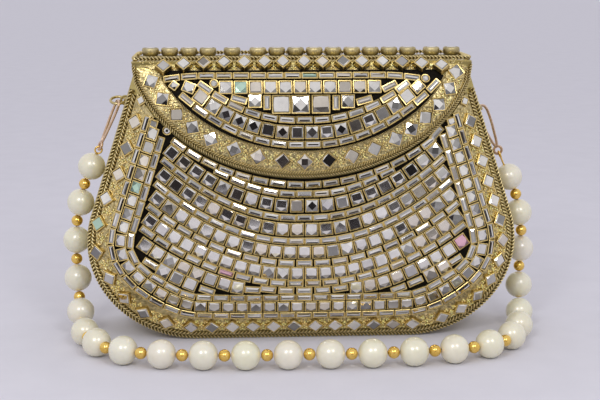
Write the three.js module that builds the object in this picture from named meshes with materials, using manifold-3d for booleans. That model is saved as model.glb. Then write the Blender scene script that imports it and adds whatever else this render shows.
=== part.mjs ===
// Mosaic metal clutch with a hinged flap and a handle of pearls and gold beads.
// Millimetres, +Z up, front towards -Y, origin at the middle of the flat base.
import * as THREE from 'three';
import { mergeVertices } from 'three/addons/utils/BufferGeometryUtils.js';
import Module from 'manifold-3d';

const wasm = await Module();
wasm.setup();
const { degToRad, lerp, clamp } = THREE.MathUtils;

// Driving dimensions
const gap = 0.3;                 // clearance between pieces that touch
const bed = 0.65;                // clearance under a sheet laid on a domed skin
const wall = 1.6;                // brass sheet with its solder and inner turn
const body = {
  baseHalf: 52.5,                // half of the flat part of the base
  cornerWide: 54.8,              // lower corner, an ellipse: reach across
  cornerTall: 49.6,              // and up
  lean: degToRad(18),            // sides lean in towards the mouth
  rim: 137.6,                    // height of the open mouth
  gussetHalf: 22,                // half depth at the edges of front and back
  middle: 70,                    // height that the plates are spread from
};
const dome = {
  roll: 8, rollReach: 24,        // the edge rolls over by this much, this far in
  topReach: 20,                  // tighter roll at the top edge
  crown: 3, crownReach: 58,      // wide crown of the front field
  back: 5,                       // plain crown of the back
};
const flap = {
  half: 83.5,                    // half width at the top plate
  shoulderHalf: 82,              // half width where the round edge starts
  arcWide: 89.8, arcTall: 76.8,  // round edge, the lower part of an ellipse
  arcMiddle: 160.6,              // height of that ellipse's middle
  standOff: 0.8,                 // clearance over the front of the body
  dropEnd: 0.93,                 // share of the edge at which the drop meets the top plate
  mosaicTop: 133.8,              // upper edge of the paved field
  mosaicHalf: 66,                // half width of that edge
};
const plate = { bottom: 138, front: -24, back: 22, frontCorner: 3, backCorner: 9 };
const band = { outer: 4.8, inner: 12, thick: 1.2 };
const flapBand = { outer: 2.9, inner: 13.2, thick: 1.2, top: 136.9, outerEnd: 0.97, innerEnd: 0.94 };
const mosaic = { bodyInset: 12.5, flapInset: 13.8, thick: 2, flapEnd: 0.92 };
const rope = { radius: 1, lift: 1.65, outerInset: 1.2, innerInset: 3.5, flapInset: 1.3, flapEnd: 0.985 };
const edgeClear = 1.2;           // front pieces stop this far outside the flap's edge
const topStone = { topRadius: 4.3, footRadius: 3.4, tall: 4 };
const topStrip = { wide: 5, thick: 0.8 };
const hinge = { span: 100, knuckles: 5, radius: 2.1, bore: 1.1, pin: 0.85, play: 0.4 };
const ring = { height: 118, radius: 3.65, wire: 0.7 };
const staple = { radius: 2, wire: 0.65, lift: 1.2 };
const hook = { wire: 0.7, eyeRadius: 2, eyeAt: 22.9, seat: 0.5, play: 0.2 };
const bead = { pearl: 13.8, gold: 5.8, play: 0.1, bore: 1, thread: 0.6, endRing: 1.8, endWire: 0.45 };
const string = { halfPearls: 12, sideBeads: 7, stride: 0.0002 };

// Stones along the top plate, in uneven runs from left to right
const topRuns = [
  { start: -75.3, pitch: 9.6, count: 4 },
  { start: -34.4, pitch: 0, count: 1 },
  { start: -21.4, pitch: 9.5, count: 9 },
  { start: 66.7, pitch: 10.3, count: 2 },
];

// The left ring stands out with the hook on its front wire, the right one hangs from its hook
const leftRest = { drop: 0, tilt: degToRad(23), grip: 'front', hookTurn: degToRad(-22) };
const rightRest = { drop: degToRad(50), tilt: 0, grip: 'out', hookTurn: degToRad(90) };
const restOf = (side) => (side < 0 ? leftRest : rightRest);

// Hook outline, from the bend over the ring to the pinch above the eye
const hookRows = [
  { along: -2.1, half: 0 },
  { along: -1.4, half: 1.9 },
  { along: 0.4, half: 2.6 },
  { along: 6, half: 2.6 },
  { along: 13, half: 1.8 },
  { along: 19.3, half: 0.8 },
  { along: 20.9, half: 0 },
];

// Handle's route: half of the front run, then each side's way up to its hook (x outwards)
const floorHeight = bead.pearl / 2;
const frontRows = [
  { x: 0, y: -74.6, z: floorHeight },
  { x: 30, y: -74.6, z: floorHeight },
  { x: 51.5, y: -73.2, z: floorHeight },
  { x: 71.5, y: -70.2, z: floorHeight },
  { x: 90, y: -63.4, z: floorHeight },
  { x: 102.4, y: -50.5, z: floorHeight },
  { x: 108.4, y: -34, z: floorHeight },
];
const leftRows = [
  { x: 112.6, y: -15, z: 8.6 },
  { x: 114.6, y: -2.2, z: 25 },
  { x: 115.6, y: 0, z: 45 },
  { x: 113.2, y: 0, z: 65 },
  { x: 107, y: -0.5, z: 85 },
  { x: 101, y: -1.6, z: 98 },
];
const rightRows = [
  { x: 112.8, y: -18, z: floorHeight },
  { x: 115.2, y: -3.4, z: 9.8 },
  { x: 115.8, y: 3, z: 20 },
  { x: 116.6, y: 1, z: 38 },
  { x: 115.2, y: 0, z: 58 },
  { x: 109.8, y: 0, z: 77 },
  { x: 105, y: 0, z: 89 },
];

// Mesh density
const sides = { rope: 6, wire: 5, thread: 5, knuckle: 12, pearl: 8, gold: 6, cup: 8 };
const steps = {
  edge: 36, top: 8, band: 36, bandAcross: 3, mosaic: 30, field: 9, across: 5, drop: 8,
  rope: 34, topRope: 48, loop: 20, ring: 14, eye: 11, pearl: 6, gold: 4, corner: 4,
};

const brass = { color: 0xb39a52, roughness: 0.35, metalness: 1 };
const gold = { color: 0xd8a93c, roughness: 0.2, metalness: 1 };
const roseGold = { color: 0xc09a82, roughness: 0.3, metalness: 1 };
const lac = { color: 0x1b1713, roughness: 0.6, metalness: 0 };
const glass = { color: 0xc9c9cf, roughness: 0.1, metalness: 0.6 };
const pearl = { color: 0xf0e8d4, roughness: 0.25, metalness: 0 };

// Outlines, as the right half of a path in X and Z
function bodyOutline() {
  const { baseHalf, cornerWide, cornerTall, lean, rim } = body;
  const turnEnd = Math.atan((cornerTall / cornerWide) * Math.tan(lean));
  const path = new THREE.Path();
  path.moveTo(0, 0);
  path.lineTo(baseHalf, 0);
  path.absellipse(baseHalf, cornerTall, cornerWide, cornerTall, -Math.PI / 2, turnEnd, false);
  const { x, y } = path.currentPoint;
  path.lineTo(x - Math.tan(lean) * (rim - y), rim);
  return path;
}

function flapOutline() {
  const path = new THREE.Path();
  const turnEnd = -Math.acos(flap.shoulderHalf / flap.arcWide);
  path.absellipse(0, flap.arcMiddle, flap.arcWide, flap.arcTall, -Math.PI / 2, turnEnd, false);
  path.lineTo(flap.half, plate.bottom + wall);
  return path;
}

const bodyPath = bodyOutline();
const flapPath = flapOutline();
const shoulder = flapPath.curves[0].getPoint(1).y;
const bodySamples = bodyPath.getSpacedPoints(90);

// Point at share v of a half outline, mirrored for v below zero, moved inwards by inset
function edgePoint(path, v, inset) {
  const point = path.getPointAt(Math.abs(v));
  const along = path.getTangentAt(Math.abs(v));
  const x = point.x - along.y * inset;
  return new THREE.Vector2(v < 0 ? -x : x, point.y + along.x * inset);
}

// Distance inwards from the base and sides of the body
function edgeInset(x, z) {
  const point = new THREE.Vector2(Math.abs(x), z);
  let nearest = Infinity;
  for (let i = 1; i < bodySamples.length; i += 1) {
    const from = bodySamples[i - 1];
    const along = bodySamples[i].clone().sub(from);
    const toPoint = point.clone().sub(from);
    const share = clamp(toPoint.dot(along) / along.lengthSq(), 0, 1);
    const away = toPoint.clone().addScaledVector(along, -share);
    const inside = along.cross(toPoint) > 0 ? 1 : -1;
    if (away.length() < Math.abs(nearest)) nearest = inside * away.length();
  }
  return nearest;
}

function swell(distance, reach) {
  return 1 - (1 - clamp(distance / reach, 0, 1)) ** 2;
}

// Outer skins of the body: Y at a place on the front or back
function frontSkin(x, z) {
  const inset = edgeInset(x, z);
  const below = body.rim - z;
  const roll = dome.roll * swell(inset, dome.rollReach) * swell(below, dome.topReach);
  const crown = dome.crown * swell(inset, dome.crownReach) * swell(below, dome.crownReach);
  return -(body.gussetHalf + roll + crown);
}

function backSkin(x, z) {
  const inset = edgeInset(x, z);
  const below = body.rim - z;
  const crown = dome.back * swell(inset, dome.crownReach) * swell(below, dome.crownReach);
  return body.gussetHalf + crown;
}

function underFlap({ x, y }, clearance) {
  if (y > shoulder) return Math.abs(x) < flap.half + clearance;
  const across = x / (flap.arcWide + clearance);
  const down = (y - flap.arcMiddle) / (flap.arcTall + clearance);
  return across * across + down * down < 1;
}

// Share of the body's outline at which an inset line meets the flap's edge
function shareAtFlap(inset, clearance) {
  const step = 0.002;
  let v = 1;
  while (underFlap(edgePoint(bodyPath, v, inset), clearance)) v -= step;
  return v;
}

// Share of the flap's outline at which it meets a line inset from the body's edge
function shareAtInset(inset) {
  const step = 0.002;
  let v = 1;
  for (;;) {
    const point = edgePoint(flapPath, v, -edgeClear);
    if (edgeInset(point.x, point.y) >= inset) return v;
    v -= step;
  }
}

// Meshes and solids
function volumeOf(points, faces) {
  let volume = 0;
  for (let i = 0; i < faces.length; i += 3) {
    const [a, b, c] = [points[faces[i]], points[faces[i + 1]], points[faces[i + 2]]];
    volume += a.dot(b.clone().cross(c)) / 6;
  }
  return volume;
}

function capFaces(first, count) {
  const faces = [];
  for (let i = 0; i < count / 2 - 1; i += 1) {
    const [a, b] = [first + i, first + i + 1];
    const [c, d] = [first + count - 2 - i, first + count - 1 - i];
    faces.push(a, b, c, a, c, d);
  }
  return faces;
}

// Skin over a row of sections with equally many points, capped unless it closes on itself
function loft(sections, closed = false) {
  const count = sections[0].length;
  const points = sections.flat();
  const faces = [];
  const spans = closed ? sections.length : sections.length - 1;
  for (let s = 0; s < spans; s += 1) {
    const here = s * count;
    const next = ((s + 1) % sections.length) * count;
    for (let i = 0; i < count; i += 1) {
      const j = (i + 1) % count;
      faces.push(here + i, next + j, next + i, here + i, here + j, next + j);
    }
  }
  if (!closed) {
    const lastCap = capFaces((sections.length - 1) * count, count);
    faces.push(...capFaces(0, count).reverse(), ...lastCap);
  }
  if (volumeOf(points, faces) < 0) faces.reverse();
  const geometry = new THREE.BufferGeometry().setFromPoints(points);
  geometry.setIndex(faces);
  return geometry;
}

function solid(geometry) {
  const bare = geometry.clone();
  bare.deleteAttribute('normal');
  bare.deleteAttribute('uv');
  const merged = mergeVertices(bare, 1e-4);
  return new wasm.Manifold(new wasm.Mesh({
    numProp: 3,
    vertProperties: merged.attributes.position.array,
    triVerts: Uint32Array.from(merged.index.array),
  }));
}

function join(solids) {
  return solids.reduce((whole, next) => whole.add(next));
}

function geometryOf(made) {
  const { numProp, vertProperties, triVerts } = made.getMesh();
  const geometry = new THREE.BufferGeometry();
  geometry.setAttribute('position', new THREE.Float32BufferAttribute(vertProperties, numProp));
  geometry.setIndex(Array.from(triVerts));
  return geometry;
}

function rod(from, to, radius, count) {
  const axis = to.clone().sub(from);
  const middle = from.clone().lerp(to, 0.5);
  const turn = new THREE.Quaternion().setFromUnitVectors(up, axis.clone().normalize());
  return new THREE.CylinderGeometry(radius, radius, axis.length(), count)
    .applyQuaternion(turn)
    .translate(...middle);
}

function block(low, high) {
  const size = high.clone().sub(low);
  const middle = low.clone().lerp(high, 0.5);
  return new THREE.BoxGeometry(...size).translate(...middle);
}

function wireAlong(points, radius, count, stepCount) {
  const section = new THREE.Shape().absarc(0, 0, radius, 0, 2 * Math.PI);
  return new THREE.ExtrudeGeometry(section, {
    extrudePath: new THREE.CatmullRomCurve3(points),
    steps: stepCount,
    curveSegments: count / 2,
  });
}

const up = new THREE.Vector3(0, 1, 0);
const shares = (count) => Array.from({ length: count + 1 }, (_, i) => i / count);
const signedShares = (count) => shares(count).map((s) => 2 * s - 1);
const onFront = (p, lift) => new THREE.Vector3(p.x, frontSkin(p.x, p.y) - lift, p.y);

// One section of a sheet that lies on the front between two places of it
function sheetSection(from, to, low, high, across) {
  const places = shares(across).map((s) => from.clone().lerp(to, s));
  const outer = places.map((p) => onFront(p, high));
  const inner = places.map((p) => onFront(p, low));
  return [...outer, ...inner.reverse()];
}

// Body of the bag
function pillow(inset, top, skinInset) {
  const spread = [0.3, 0.55, 0.72, 0.83, 0.91, 0.96, 1];
  const rimPoint = edgePoint(bodyPath, 1, inset);
  const outline = signedShares(steps.edge).map((v) => edgePoint(bodyPath, v, inset));
  const topRow = shares(steps.top).map((s) => new THREE.Vector2(lerp(rimPoint.x, -rimPoint.x, s), top));
  outline.push(...(top > body.rim ? topRow : topRow.slice(1, -1)));
  const ringAt = (share, skin, side) => outline.map((p) => {
    const x = p.x * share;
    const z = lerp(body.middle, p.y, share);
    return new THREE.Vector3(x, skin(x, z) - side * skinInset, z);
  });
  const front = spread.map((share) => ringAt(share, frontSkin, -1));
  const back = spread.map((share) => ringAt(share, backSkin, 1));
  return solid(loft([...front, ...back.reverse()]));
}

const hingeLine = {
  y: body.gussetHalf + hinge.radius + hinge.play,
  z: body.rim - hinge.play,
};

// Every second knuckle of the hinge, each with the leaf that ties it to its plate
function knuckles(first, leafLow, leafHigh) {
  const pitch = hinge.span / hinge.knuckles;
  const made = [];
  for (let k = first; k < hinge.knuckles; k += 2) {
    const start = -hinge.span / 2 + k * pitch + hinge.play / 2;
    const end = start + pitch - hinge.play;
    const from = new THREE.Vector3(start, hingeLine.y, hingeLine.z);
    const to = new THREE.Vector3(end, hingeLine.y, hingeLine.z);
    const leaf = block(
      new THREE.Vector3(start, leafLow.y, leafLow.z),
      new THREE.Vector3(end, leafHigh.y, leafHigh.z),
    );
    made.push(solid(rod(from, to, hinge.radius, sides.knuckle)), solid(leaf));
  }
  return made;
}

function hingeBore() {
  const reach = hinge.span / 2 + hinge.play;
  const from = new THREE.Vector3(-reach, hingeLine.y, hingeLine.z);
  const to = new THREE.Vector3(reach, hingeLine.y, hingeLine.z);
  return solid(rod(from, to, hinge.bore, sides.knuckle));
}

// Point outside the gusset at the height of the rings, lifted off its surface
function gussetPoint(side, lift) {
  const out = new THREE.Vector3(side * Math.cos(body.lean), 0, Math.sin(body.lean));
  const rimPoint = edgePoint(bodyPath, 1, 0);
  const x = rimPoint.x + Math.tan(body.lean) * (body.rim - ring.height);
  return new THREE.Vector3(side * x, 0, ring.height).addScaledVector(out, lift);
}

function ringStaple(side) {
  const loop = new THREE.TorusGeometry(staple.radius, staple.wire, sides.wire, steps.eye);
  return solid(loop.rotateX(Math.PI / 2).translate(...gussetPoint(side, staple.lift)));
}

function bodyShell() {
  const outer = pillow(0, body.rim, 0);
  const hollow = pillow(wall, body.rim + wall, wall);
  const leafLow = { y: body.gussetHalf - wall / 2, z: hingeLine.z - hinge.radius };
  const leafHigh = { y: hingeLine.y, z: hingeLine.z - gap };
  const fittings = [...knuckles(0, leafLow, leafHigh), ringStaple(-1), ringStaple(1)];
  const shell = outer.subtract(hollow);
  return geometryOf(join([shell, ...fittings]).subtract(hingeBore()));
}

// Pieces laid on the front of the body
function frontBand() {
  const outerEnd = shareAtFlap(band.outer, edgeClear);
  const innerEnd = shareAtFlap(band.inner, edgeClear);
  const sections = signedShares(steps.band).map((s) => {
    const from = edgePoint(bodyPath, s * outerEnd, band.outer);
    const to = edgePoint(bodyPath, s * innerEnd, band.inner);
    return sheetSection(from, to, bed, bed + band.thick, steps.bandAcross);
  });
  return loft(sections);
}

function frontMosaic() {
  const lowerEnd = shareAtFlap(mosaic.bodyInset, edgeClear);
  const upperEnd = shareAtInset(mosaic.bodyInset + edgeClear);
  const sections = signedShares(steps.mosaic).map((s) => {
    const from = edgePoint(bodyPath, s * lowerEnd, mosaic.bodyInset);
    const to = edgePoint(flapPath, s * upperEnd, -edgeClear);
    return sheetSection(from, to, bed, bed + mosaic.thick, steps.field);
  });
  return loft(sections);
}

function frontRope(inset) {
  const end = shareAtFlap(inset, edgeClear + rope.radius);
  const points = signedShares(steps.rope).map((s) => (
    onFront(edgePoint(bodyPath, s * end, inset), rope.lift)
  ));
  return wireAlong(points, rope.radius, sides.rope, steps.rope);
}

// Flap: top plate and front drop in one, with its knuckles
const flapFace = flap.standOff + wall;

function plateOutline(inset) {
  const { front, back, frontCorner, backCorner } = plate;
  const right = flap.half - inset;
  const [low, high] = [front + inset, back - inset];
  const shape = new THREE.Shape();
  shape.moveTo(-right + frontCorner, low);
  shape.absarc(right - frontCorner, low + frontCorner, frontCorner, -Math.PI / 2, 0);
  shape.absarc(right - backCorner, high - backCorner, backCorner, 0, Math.PI / 2);
  shape.absarc(-right + backCorner, high - backCorner, backCorner, Math.PI / 2, Math.PI);
  shape.absarc(-right + frontCorner, low + frontCorner, frontCorner, Math.PI, 1.5 * Math.PI);
  return shape;
}

function flapShell() {
  const top = new THREE.ExtrudeGeometry(plateOutline(0), {
    depth: wall, bevelEnabled: false, curveSegments: steps.corner,
  }).translate(0, 0, plate.bottom);
  const topEdge = plate.bottom + wall / 2;
  const drop = signedShares(steps.mosaic).map((s) => {
    const lower = edgePoint(flapPath, s * flap.dropEnd, 0);
    const upper = new THREE.Vector2(s * (flap.half - plate.frontCorner), topEdge);
    return sheetSection(upper, lower, flap.standOff, flapFace, steps.drop);
  });
  const leafLow = { y: plate.back - wall, z: plate.bottom + gap };
  const leafHigh = { y: hingeLine.y, z: hingeLine.z + hinge.radius - gap };
  const whole = join([solid(top), solid(loft(drop)), ...knuckles(1, leafLow, leafHigh)]);
  return geometryOf(whole.subtract(hingeBore()));
}

function hingePin() {
  const reach = hinge.span / 2 - hinge.play;
  const from = new THREE.Vector3(-reach, hingeLine.y, hingeLine.z);
  const to = new THREE.Vector3(reach, hingeLine.y, hingeLine.z);
  return rod(from, to, hinge.pin, sides.knuckle);
}

// Embossed border of the flap, once round: down the right, along the round edge and back over the top
function flapBorder() {
  const [low, high] = [flapFace + bed, flapFace + bed + flapBand.thick];
  const outerTop = edgePoint(flapPath, 1, flapBand.outer).x;
  const round = signedShares(steps.band).map((s) => [
    edgePoint(flapPath, s * flapBand.outerEnd, flapBand.outer),
    edgePoint(flapPath, s * flapBand.innerEnd, flapBand.inner),
  ]);
  const over = shares(steps.top).map((s) => [
    new THREE.Vector2(lerp(outerTop, -outerTop, s), flapBand.top),
    new THREE.Vector2(lerp(flap.mosaicHalf, -flap.mosaicHalf, s), flap.mosaicTop + gap),
  ]);
  const sections = [...round, ...over].map(([from, to]) => (
    sheetSection(from, to, low, high, steps.bandAcross)
  ));
  return loft(sections, true);
}

function flapMosaic() {
  const [low, high] = [flapFace + bed, flapFace + bed + mosaic.thick];
  const sections = signedShares(steps.mosaic).map((s) => {
    const upper = new THREE.Vector2(s * flap.mosaicHalf, flap.mosaicTop);
    const lower = edgePoint(flapPath, s * mosaic.flapEnd, mosaic.flapInset);
    return sheetSection(upper, lower, low, high, steps.across);
  });
  return loft(sections);
}

function flapRope() {
  const lift = flapFace + rope.lift;
  const points = signedShares(steps.rope).map((s) => (
    onFront(edgePoint(flapPath, s * rope.flapEnd, rope.flapInset), lift)
  ));
  return wireAlong(points, rope.radius, sides.rope, steps.rope);
}

function topRope() {
  const height = plate.bottom + wall + gap + rope.radius;
  const outline = plateOutline(rope.outerInset);
  const path = new THREE.Curve();
  path.getPoint = (share) => {
    const { x, y } = outline.getPointAt(share % 1);
    return new THREE.Vector3(x, y, height);
  };
  return new THREE.TubeGeometry(path, steps.topRope, rope.radius, sides.rope, true);
}

function topStones() {
  const floor = plate.bottom + wall + gap;
  const places = topRuns.flatMap(({ start, pitch, count }) => (
    Array.from({ length: count }, (_, i) => start + i * pitch)
  ));
  const strip = block(
    new THREE.Vector3(places[0], -topStrip.wide / 2, floor),
    new THREE.Vector3(places[places.length - 1], topStrip.wide / 2, floor + topStrip.thick),
  );
  const cups = places.map((x) => (
    new THREE.CylinderGeometry(topStone.topRadius, topStone.footRadius, topStone.tall, sides.cup)
      .rotateX(Math.PI / 2)
      .translate(x, 0, floor + gap + topStone.tall / 2)
  ));
  return geometryOf(join([strip, ...cups].map(solid)));
}

// Side rings and the hooks on them
function ringAxes(side) {
  const { drop, tilt } = restOf(side);
  const out = new THREE.Vector3(side * Math.cos(drop), 0, -Math.sin(drop));
  const front = new THREE.Vector3(0, -Math.cos(tilt), -Math.sin(tilt));
  return { out, front };
}

function ringCentre(side) {
  return gussetPoint(side, staple.lift).addScaledVector(ringAxes(side).out, ring.radius);
}

function sideRing(side) {
  const { out, front } = ringAxes(side);
  const frame = new THREE.Matrix4()
    .makeBasis(out, front, new THREE.Vector3().crossVectors(out, front))
    .setPosition(ringCentre(side));
  return new THREE.TorusGeometry(ring.radius, ring.wire, sides.wire, steps.ring).applyMatrix4(frame);
}

// Handle: gold beads a fixed chord apart along the route, a pearl on every chord
const chord = bead.pearl + bead.gold + 2 * bead.play;

function goldPlaces(sideRows, side) {
  const rows = [...frontRows, ...sideRows];
  const route = new THREE.CatmullRomCurve3(rows.map(({ x, y, z }) => new THREE.Vector3(side * x, y, z)));
  route.arcLengthDivisions = 2000;
  const routePoint = (share) => {
    const point = route.getPointAt(Math.min(share, 1));
    point.z = Math.max(point.z, floorHeight);
    return point;
  };
  const places = [routePoint(0)];
  let share = 0;
  while (places.length <= string.halfPearls) {
    const last = places[places.length - 1];
    while (share < 1 && routePoint(share).distanceTo(last) < chord) share += string.stride;
    places.push(routePoint(share));
  }
  return places;
}

const threadNodes = [...goldPlaces(leftRows, -1).slice(1).reverse(), ...goldPlaces(rightRows, 1)];
const lastNode = threadNodes.length - 1;
const outermost = (side) => threadNodes[side < 0 ? 1 : lastNode - 1];

// Place on the ring's wire that carries the hook
function hookBend(side) {
  return ringCentre(side).addScaledVector(ringAxes(side)[restOf(side).grip], ring.radius);
}

// The end pearls lie on the straight line from the last gold beads to the hooks
for (const side of [-1, 1]) {
  const toHook = hookBend(side).sub(outermost(side)).normalize();
  threadNodes[side < 0 ? 0 : lastNode].copy(outermost(side)).addScaledVector(toHook, chord);
}

// Hook's own frame: along to the first gold bead, across its loop and through it
function hookFrame(side) {
  const bend = hookBend(side);
  const along = outermost(side).clone().sub(bend).normalize();
  const across = new THREE.Vector3(0, 1, 0);
  across.addScaledVector(along, -across.dot(along)).normalize();
  across.applyAxisAngle(along, restOf(side).hookTurn);
  const through = new THREE.Vector3().crossVectors(along, across);
  bend.addScaledVector(along, hook.seat);
  return new THREE.Matrix4().makeBasis(along, across, through).setPosition(bend);
}

function hookLink(side) {
  const down = hookRows.map(({ along, half }) => new THREE.Vector3(along, half, 0));
  const upAgain = hookRows.slice(1, -1).reverse()
    .map(({ along, half }) => new THREE.Vector3(along, -half, 0));
  const path = new THREE.CatmullRomCurve3([...down, ...upAgain], true);
  const loop = new THREE.TubeGeometry(path, steps.loop, hook.wire, sides.wire, true);
  const eye = new THREE.TorusGeometry(hook.eyeRadius, hook.wire, sides.wire, steps.eye)
    .translate(hook.eyeAt, 0, 0);
  return geometryOf(join([solid(loop), solid(eye)])).applyMatrix4(hookFrame(side));
}

function pearlBead() {
  const ball = new THREE.SphereGeometry(bead.pearl / 2, sides.pearl, steps.pearl);
  const bore = new THREE.CylinderGeometry(bead.bore, bead.bore, bead.pearl + 1, sides.wire);
  return geometryOf(solid(ball).subtract(solid(bore)));
}

// Small ring that ties the end of the thread to the eye of a hook
function threadEnd(side) {
  const frame = hookFrame(side);
  const eyeEnd = hook.eyeAt + hook.eyeRadius;
  const reach = eyeEnd - hook.wire - bead.endWire - hook.play + bead.endRing;
  const centre = new THREE.Vector3(reach, 0, 0).applyMatrix4(frame);
  const tie = new THREE.Vector3(reach + bead.endRing, 0, 0).applyMatrix4(frame);
  const loop = new THREE.TorusGeometry(bead.endRing, bead.endWire, sides.wire, steps.eye)
    .rotateX(Math.PI / 2)
    .applyMatrix4(frame.clone().setPosition(centre));
  return [solid(loop), solid(rod(tie, outermost(side), bead.thread, sides.thread))];
}

// Gold beads between two nodes of the thread, joined by it, ends cut inside a pearl
function beadRun(first, last) {
  const pieces = [];
  for (let i = first; i <= last; i += 1) {
    const ball = new THREE.SphereGeometry(bead.gold / 2, sides.gold, steps.gold);
    pieces.push(solid(ball.translate(...threadNodes[i])));
    const ahead = threadNodes[i + 1].clone();
    if (i === last) ahead.lerp(threadNodes[i], 0.5 + gap / chord);
    if (i < last || i + 1 < lastNode) {
      pieces.push(solid(rod(threadNodes[i], ahead, bead.thread, sides.thread)));
    }
  }
  const behind = threadNodes[first - 1].clone().lerp(threadNodes[first], 0.5 + gap / chord);
  if (first > 1) pieces.push(solid(rod(behind, threadNodes[first], bead.thread, sides.thread)));
  if (first === 1) pieces.push(...threadEnd(-1));
  if (last === lastNode - 1) pieces.push(...threadEnd(1));
  return geometryOf(join(pieces));
}

// Assembly
function part(name, geometry, finish) {
  const mesh = new THREE.Mesh(geometry, new THREE.MeshStandardMaterial(finish));
  mesh.name = name;
  return mesh;
}

function handle() {
  const group = new THREE.Group();
  const ball = pearlBead();
  for (let i = 0; i < lastNode; i += 1) {
    const along = threadNodes[i + 1].clone().sub(threadNodes[i]).normalize();
    const mesh = part(`pearl_${String(i + 1).padStart(2, '0')}`, ball, pearl);
    mesh.position.copy(threadNodes[i]).lerp(threadNodes[i + 1], 0.5);
    mesh.quaternion.setFromUnitVectors(up, along);
    group.add(mesh);
  }
  const { sideBeads } = string;
  group.add(part('bead_run_left', beadRun(1, sideBeads), gold));
  group.add(part('bead_run_front', beadRun(sideBeads + 1, lastNode - 1 - sideBeads), gold));
  group.add(part('bead_run_right', beadRun(lastNode - sideBeads, lastNode - 1), gold));
  return group;
}

const clutch = new THREE.Group();
clutch.add(
  part('body_shell', bodyShell(), brass),
  part('front_band', frontBand(), brass),
  part('front_mosaic', frontMosaic(), lac),
  part('front_rope_outer', frontRope(rope.outerInset), brass),
  part('front_rope_inner', frontRope(rope.innerInset), brass),
  part('hinge_pin', hingePin(), brass),
  part('flap_shell', flapShell(), brass),
  part('flap_band', flapBorder(), brass),
  part('flap_mosaic', flapMosaic(), lac),
  part('flap_rope', flapRope(), brass),
  part('top_rope', topRope(), brass),
  part('top_stones', topStones(), glass),
  part('ring_left', sideRing(-1), brass),
  part('ring_right', sideRing(1), brass),
  part('hook_left', hookLink(-1), roseGold),
  part('hook_right', hookLink(1), roseGold),
  handle(),
);

export default clutch;
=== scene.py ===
import math
import random
import bpy
import numpy as np
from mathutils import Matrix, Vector, noise


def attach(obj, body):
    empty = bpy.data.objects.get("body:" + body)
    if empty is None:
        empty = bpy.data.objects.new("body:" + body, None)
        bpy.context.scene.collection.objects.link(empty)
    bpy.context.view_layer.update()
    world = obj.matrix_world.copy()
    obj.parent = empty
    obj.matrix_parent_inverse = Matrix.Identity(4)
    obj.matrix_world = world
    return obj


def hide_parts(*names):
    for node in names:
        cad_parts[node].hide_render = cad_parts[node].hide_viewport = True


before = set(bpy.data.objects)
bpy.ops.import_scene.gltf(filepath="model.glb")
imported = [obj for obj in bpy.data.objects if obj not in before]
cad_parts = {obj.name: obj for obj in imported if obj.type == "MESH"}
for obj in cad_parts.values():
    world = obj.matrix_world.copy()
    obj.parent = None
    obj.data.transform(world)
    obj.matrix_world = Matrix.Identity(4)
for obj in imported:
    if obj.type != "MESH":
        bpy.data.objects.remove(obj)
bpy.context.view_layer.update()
mm = 0.001  # every length below is in millimetres, y runs to the back and z up
dice = random.Random(11)

# shape of the bag, the same as its solids
bagShape = {
    "baseHalf": 52.5, "cornerWide": 54.8, "cornerTall": 49.6, "lean": 18, "rim": 137.6, "gussetHalf": 22,
    "roll": 8, "rollReach": 24, "topReach": 20, "crown": 3, "crownReach": 58, "backCrown": 5,
    "wall": 1.6, "middle": 70,
}
flapShape = {
    "half": 83.5, "shoulderHalf": 82, "arcWide": 89.8, "arcTall": 76.8, "arcMiddle": 160.6,
    "standOff": 0.8, "plateLow": 138, "plateHigh": 139.6, "plateFront": -24, "plateBack": 22,
    "frontCorner": 3, "backCorner": 9,
}
flapFace = flapShape["standOff"] + bagShape["wall"]
print("frame loaded", len(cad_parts), "nodes")


# small helpers for meshes; a heap gathers many small meshes with a tone for every corner
def heap():
    return {"verts": [], "faces": [], "tone": []}


def shifted(faces, start):
    return [tuple(start + i for i in face) for face in faces]


def pour(pile, verts, faces, tone=1.0, faceTones=None, vertTones=None):
    pile["faces"] += shifted(faces, len(pile["verts"]))
    pile["verts"].extend(np.asarray(verts).tolist())
    flat = tone if isinstance(tone, tuple) else (tone, tone, tone)
    for number, face in enumerate(faces):
        faceTone = 1.0 if faceTones is None else faceTones[number]
        for i in face:
            shade = faceTone if vertTones is None else faceTone * vertTones[i]
            pile["tone"].append((flat[0] * shade, flat[1] * shade, flat[2] * shade, 1.0))


def addPiece(name, pile, material, body, sharp=35):
    mesh = bpy.data.meshes.new(name)
    mesh.from_pydata((np.asarray(pile["verts"], float) * mm).tolist(), [], pile["faces"])
    mesh.polygons.foreach_set("use_smooth", [True] * len(mesh.polygons))
    mesh.set_sharp_from_angle(angle=math.radians(sharp))
    layer = mesh.attributes.new("tone", "FLOAT_COLOR", "CORNER")
    layer.data.foreach_set("color", np.asarray(pile["tone"], float).ravel())
    mesh.materials.append(material)
    piece = bpy.data.objects.new(name, mesh)
    bpy.context.collection.objects.link(piece)
    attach(piece, body)
    return piece


def gridFaces(rows, columns, closeRows=False, closeColumns=False):
    faces = []
    for i in range(rows if closeRows else rows - 1):
        here, ahead = i * columns, (i + 1) % rows * columns
        for j in range(columns if closeColumns else columns - 1):
            k = (j + 1) % columns
            faces.append((here + j, here + k, ahead + k, ahead + j))
    return faces


def unit(vectors):
    return vectors / np.linalg.norm(vectors, axis=-1, keepdims=True)


def fullTurn(count):
    return np.linspace(0, 2 * math.pi, count, endpoint=False)


def runLengths(points):
    return np.concatenate([[0], np.cumsum(np.linalg.norm(np.diff(points, axis=0), axis=1))])


def resampled(path, count):
    run = runLengths(path)
    at = np.linspace(0, run[-1], count)
    return np.stack([np.interp(at, run, path[:, k]) for k in range(path.shape[1])], 1)


def spaced(points, step):
    return resampled(points, max(2, int(round(runLengths(points)[-1] / step)) + 1))


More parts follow.
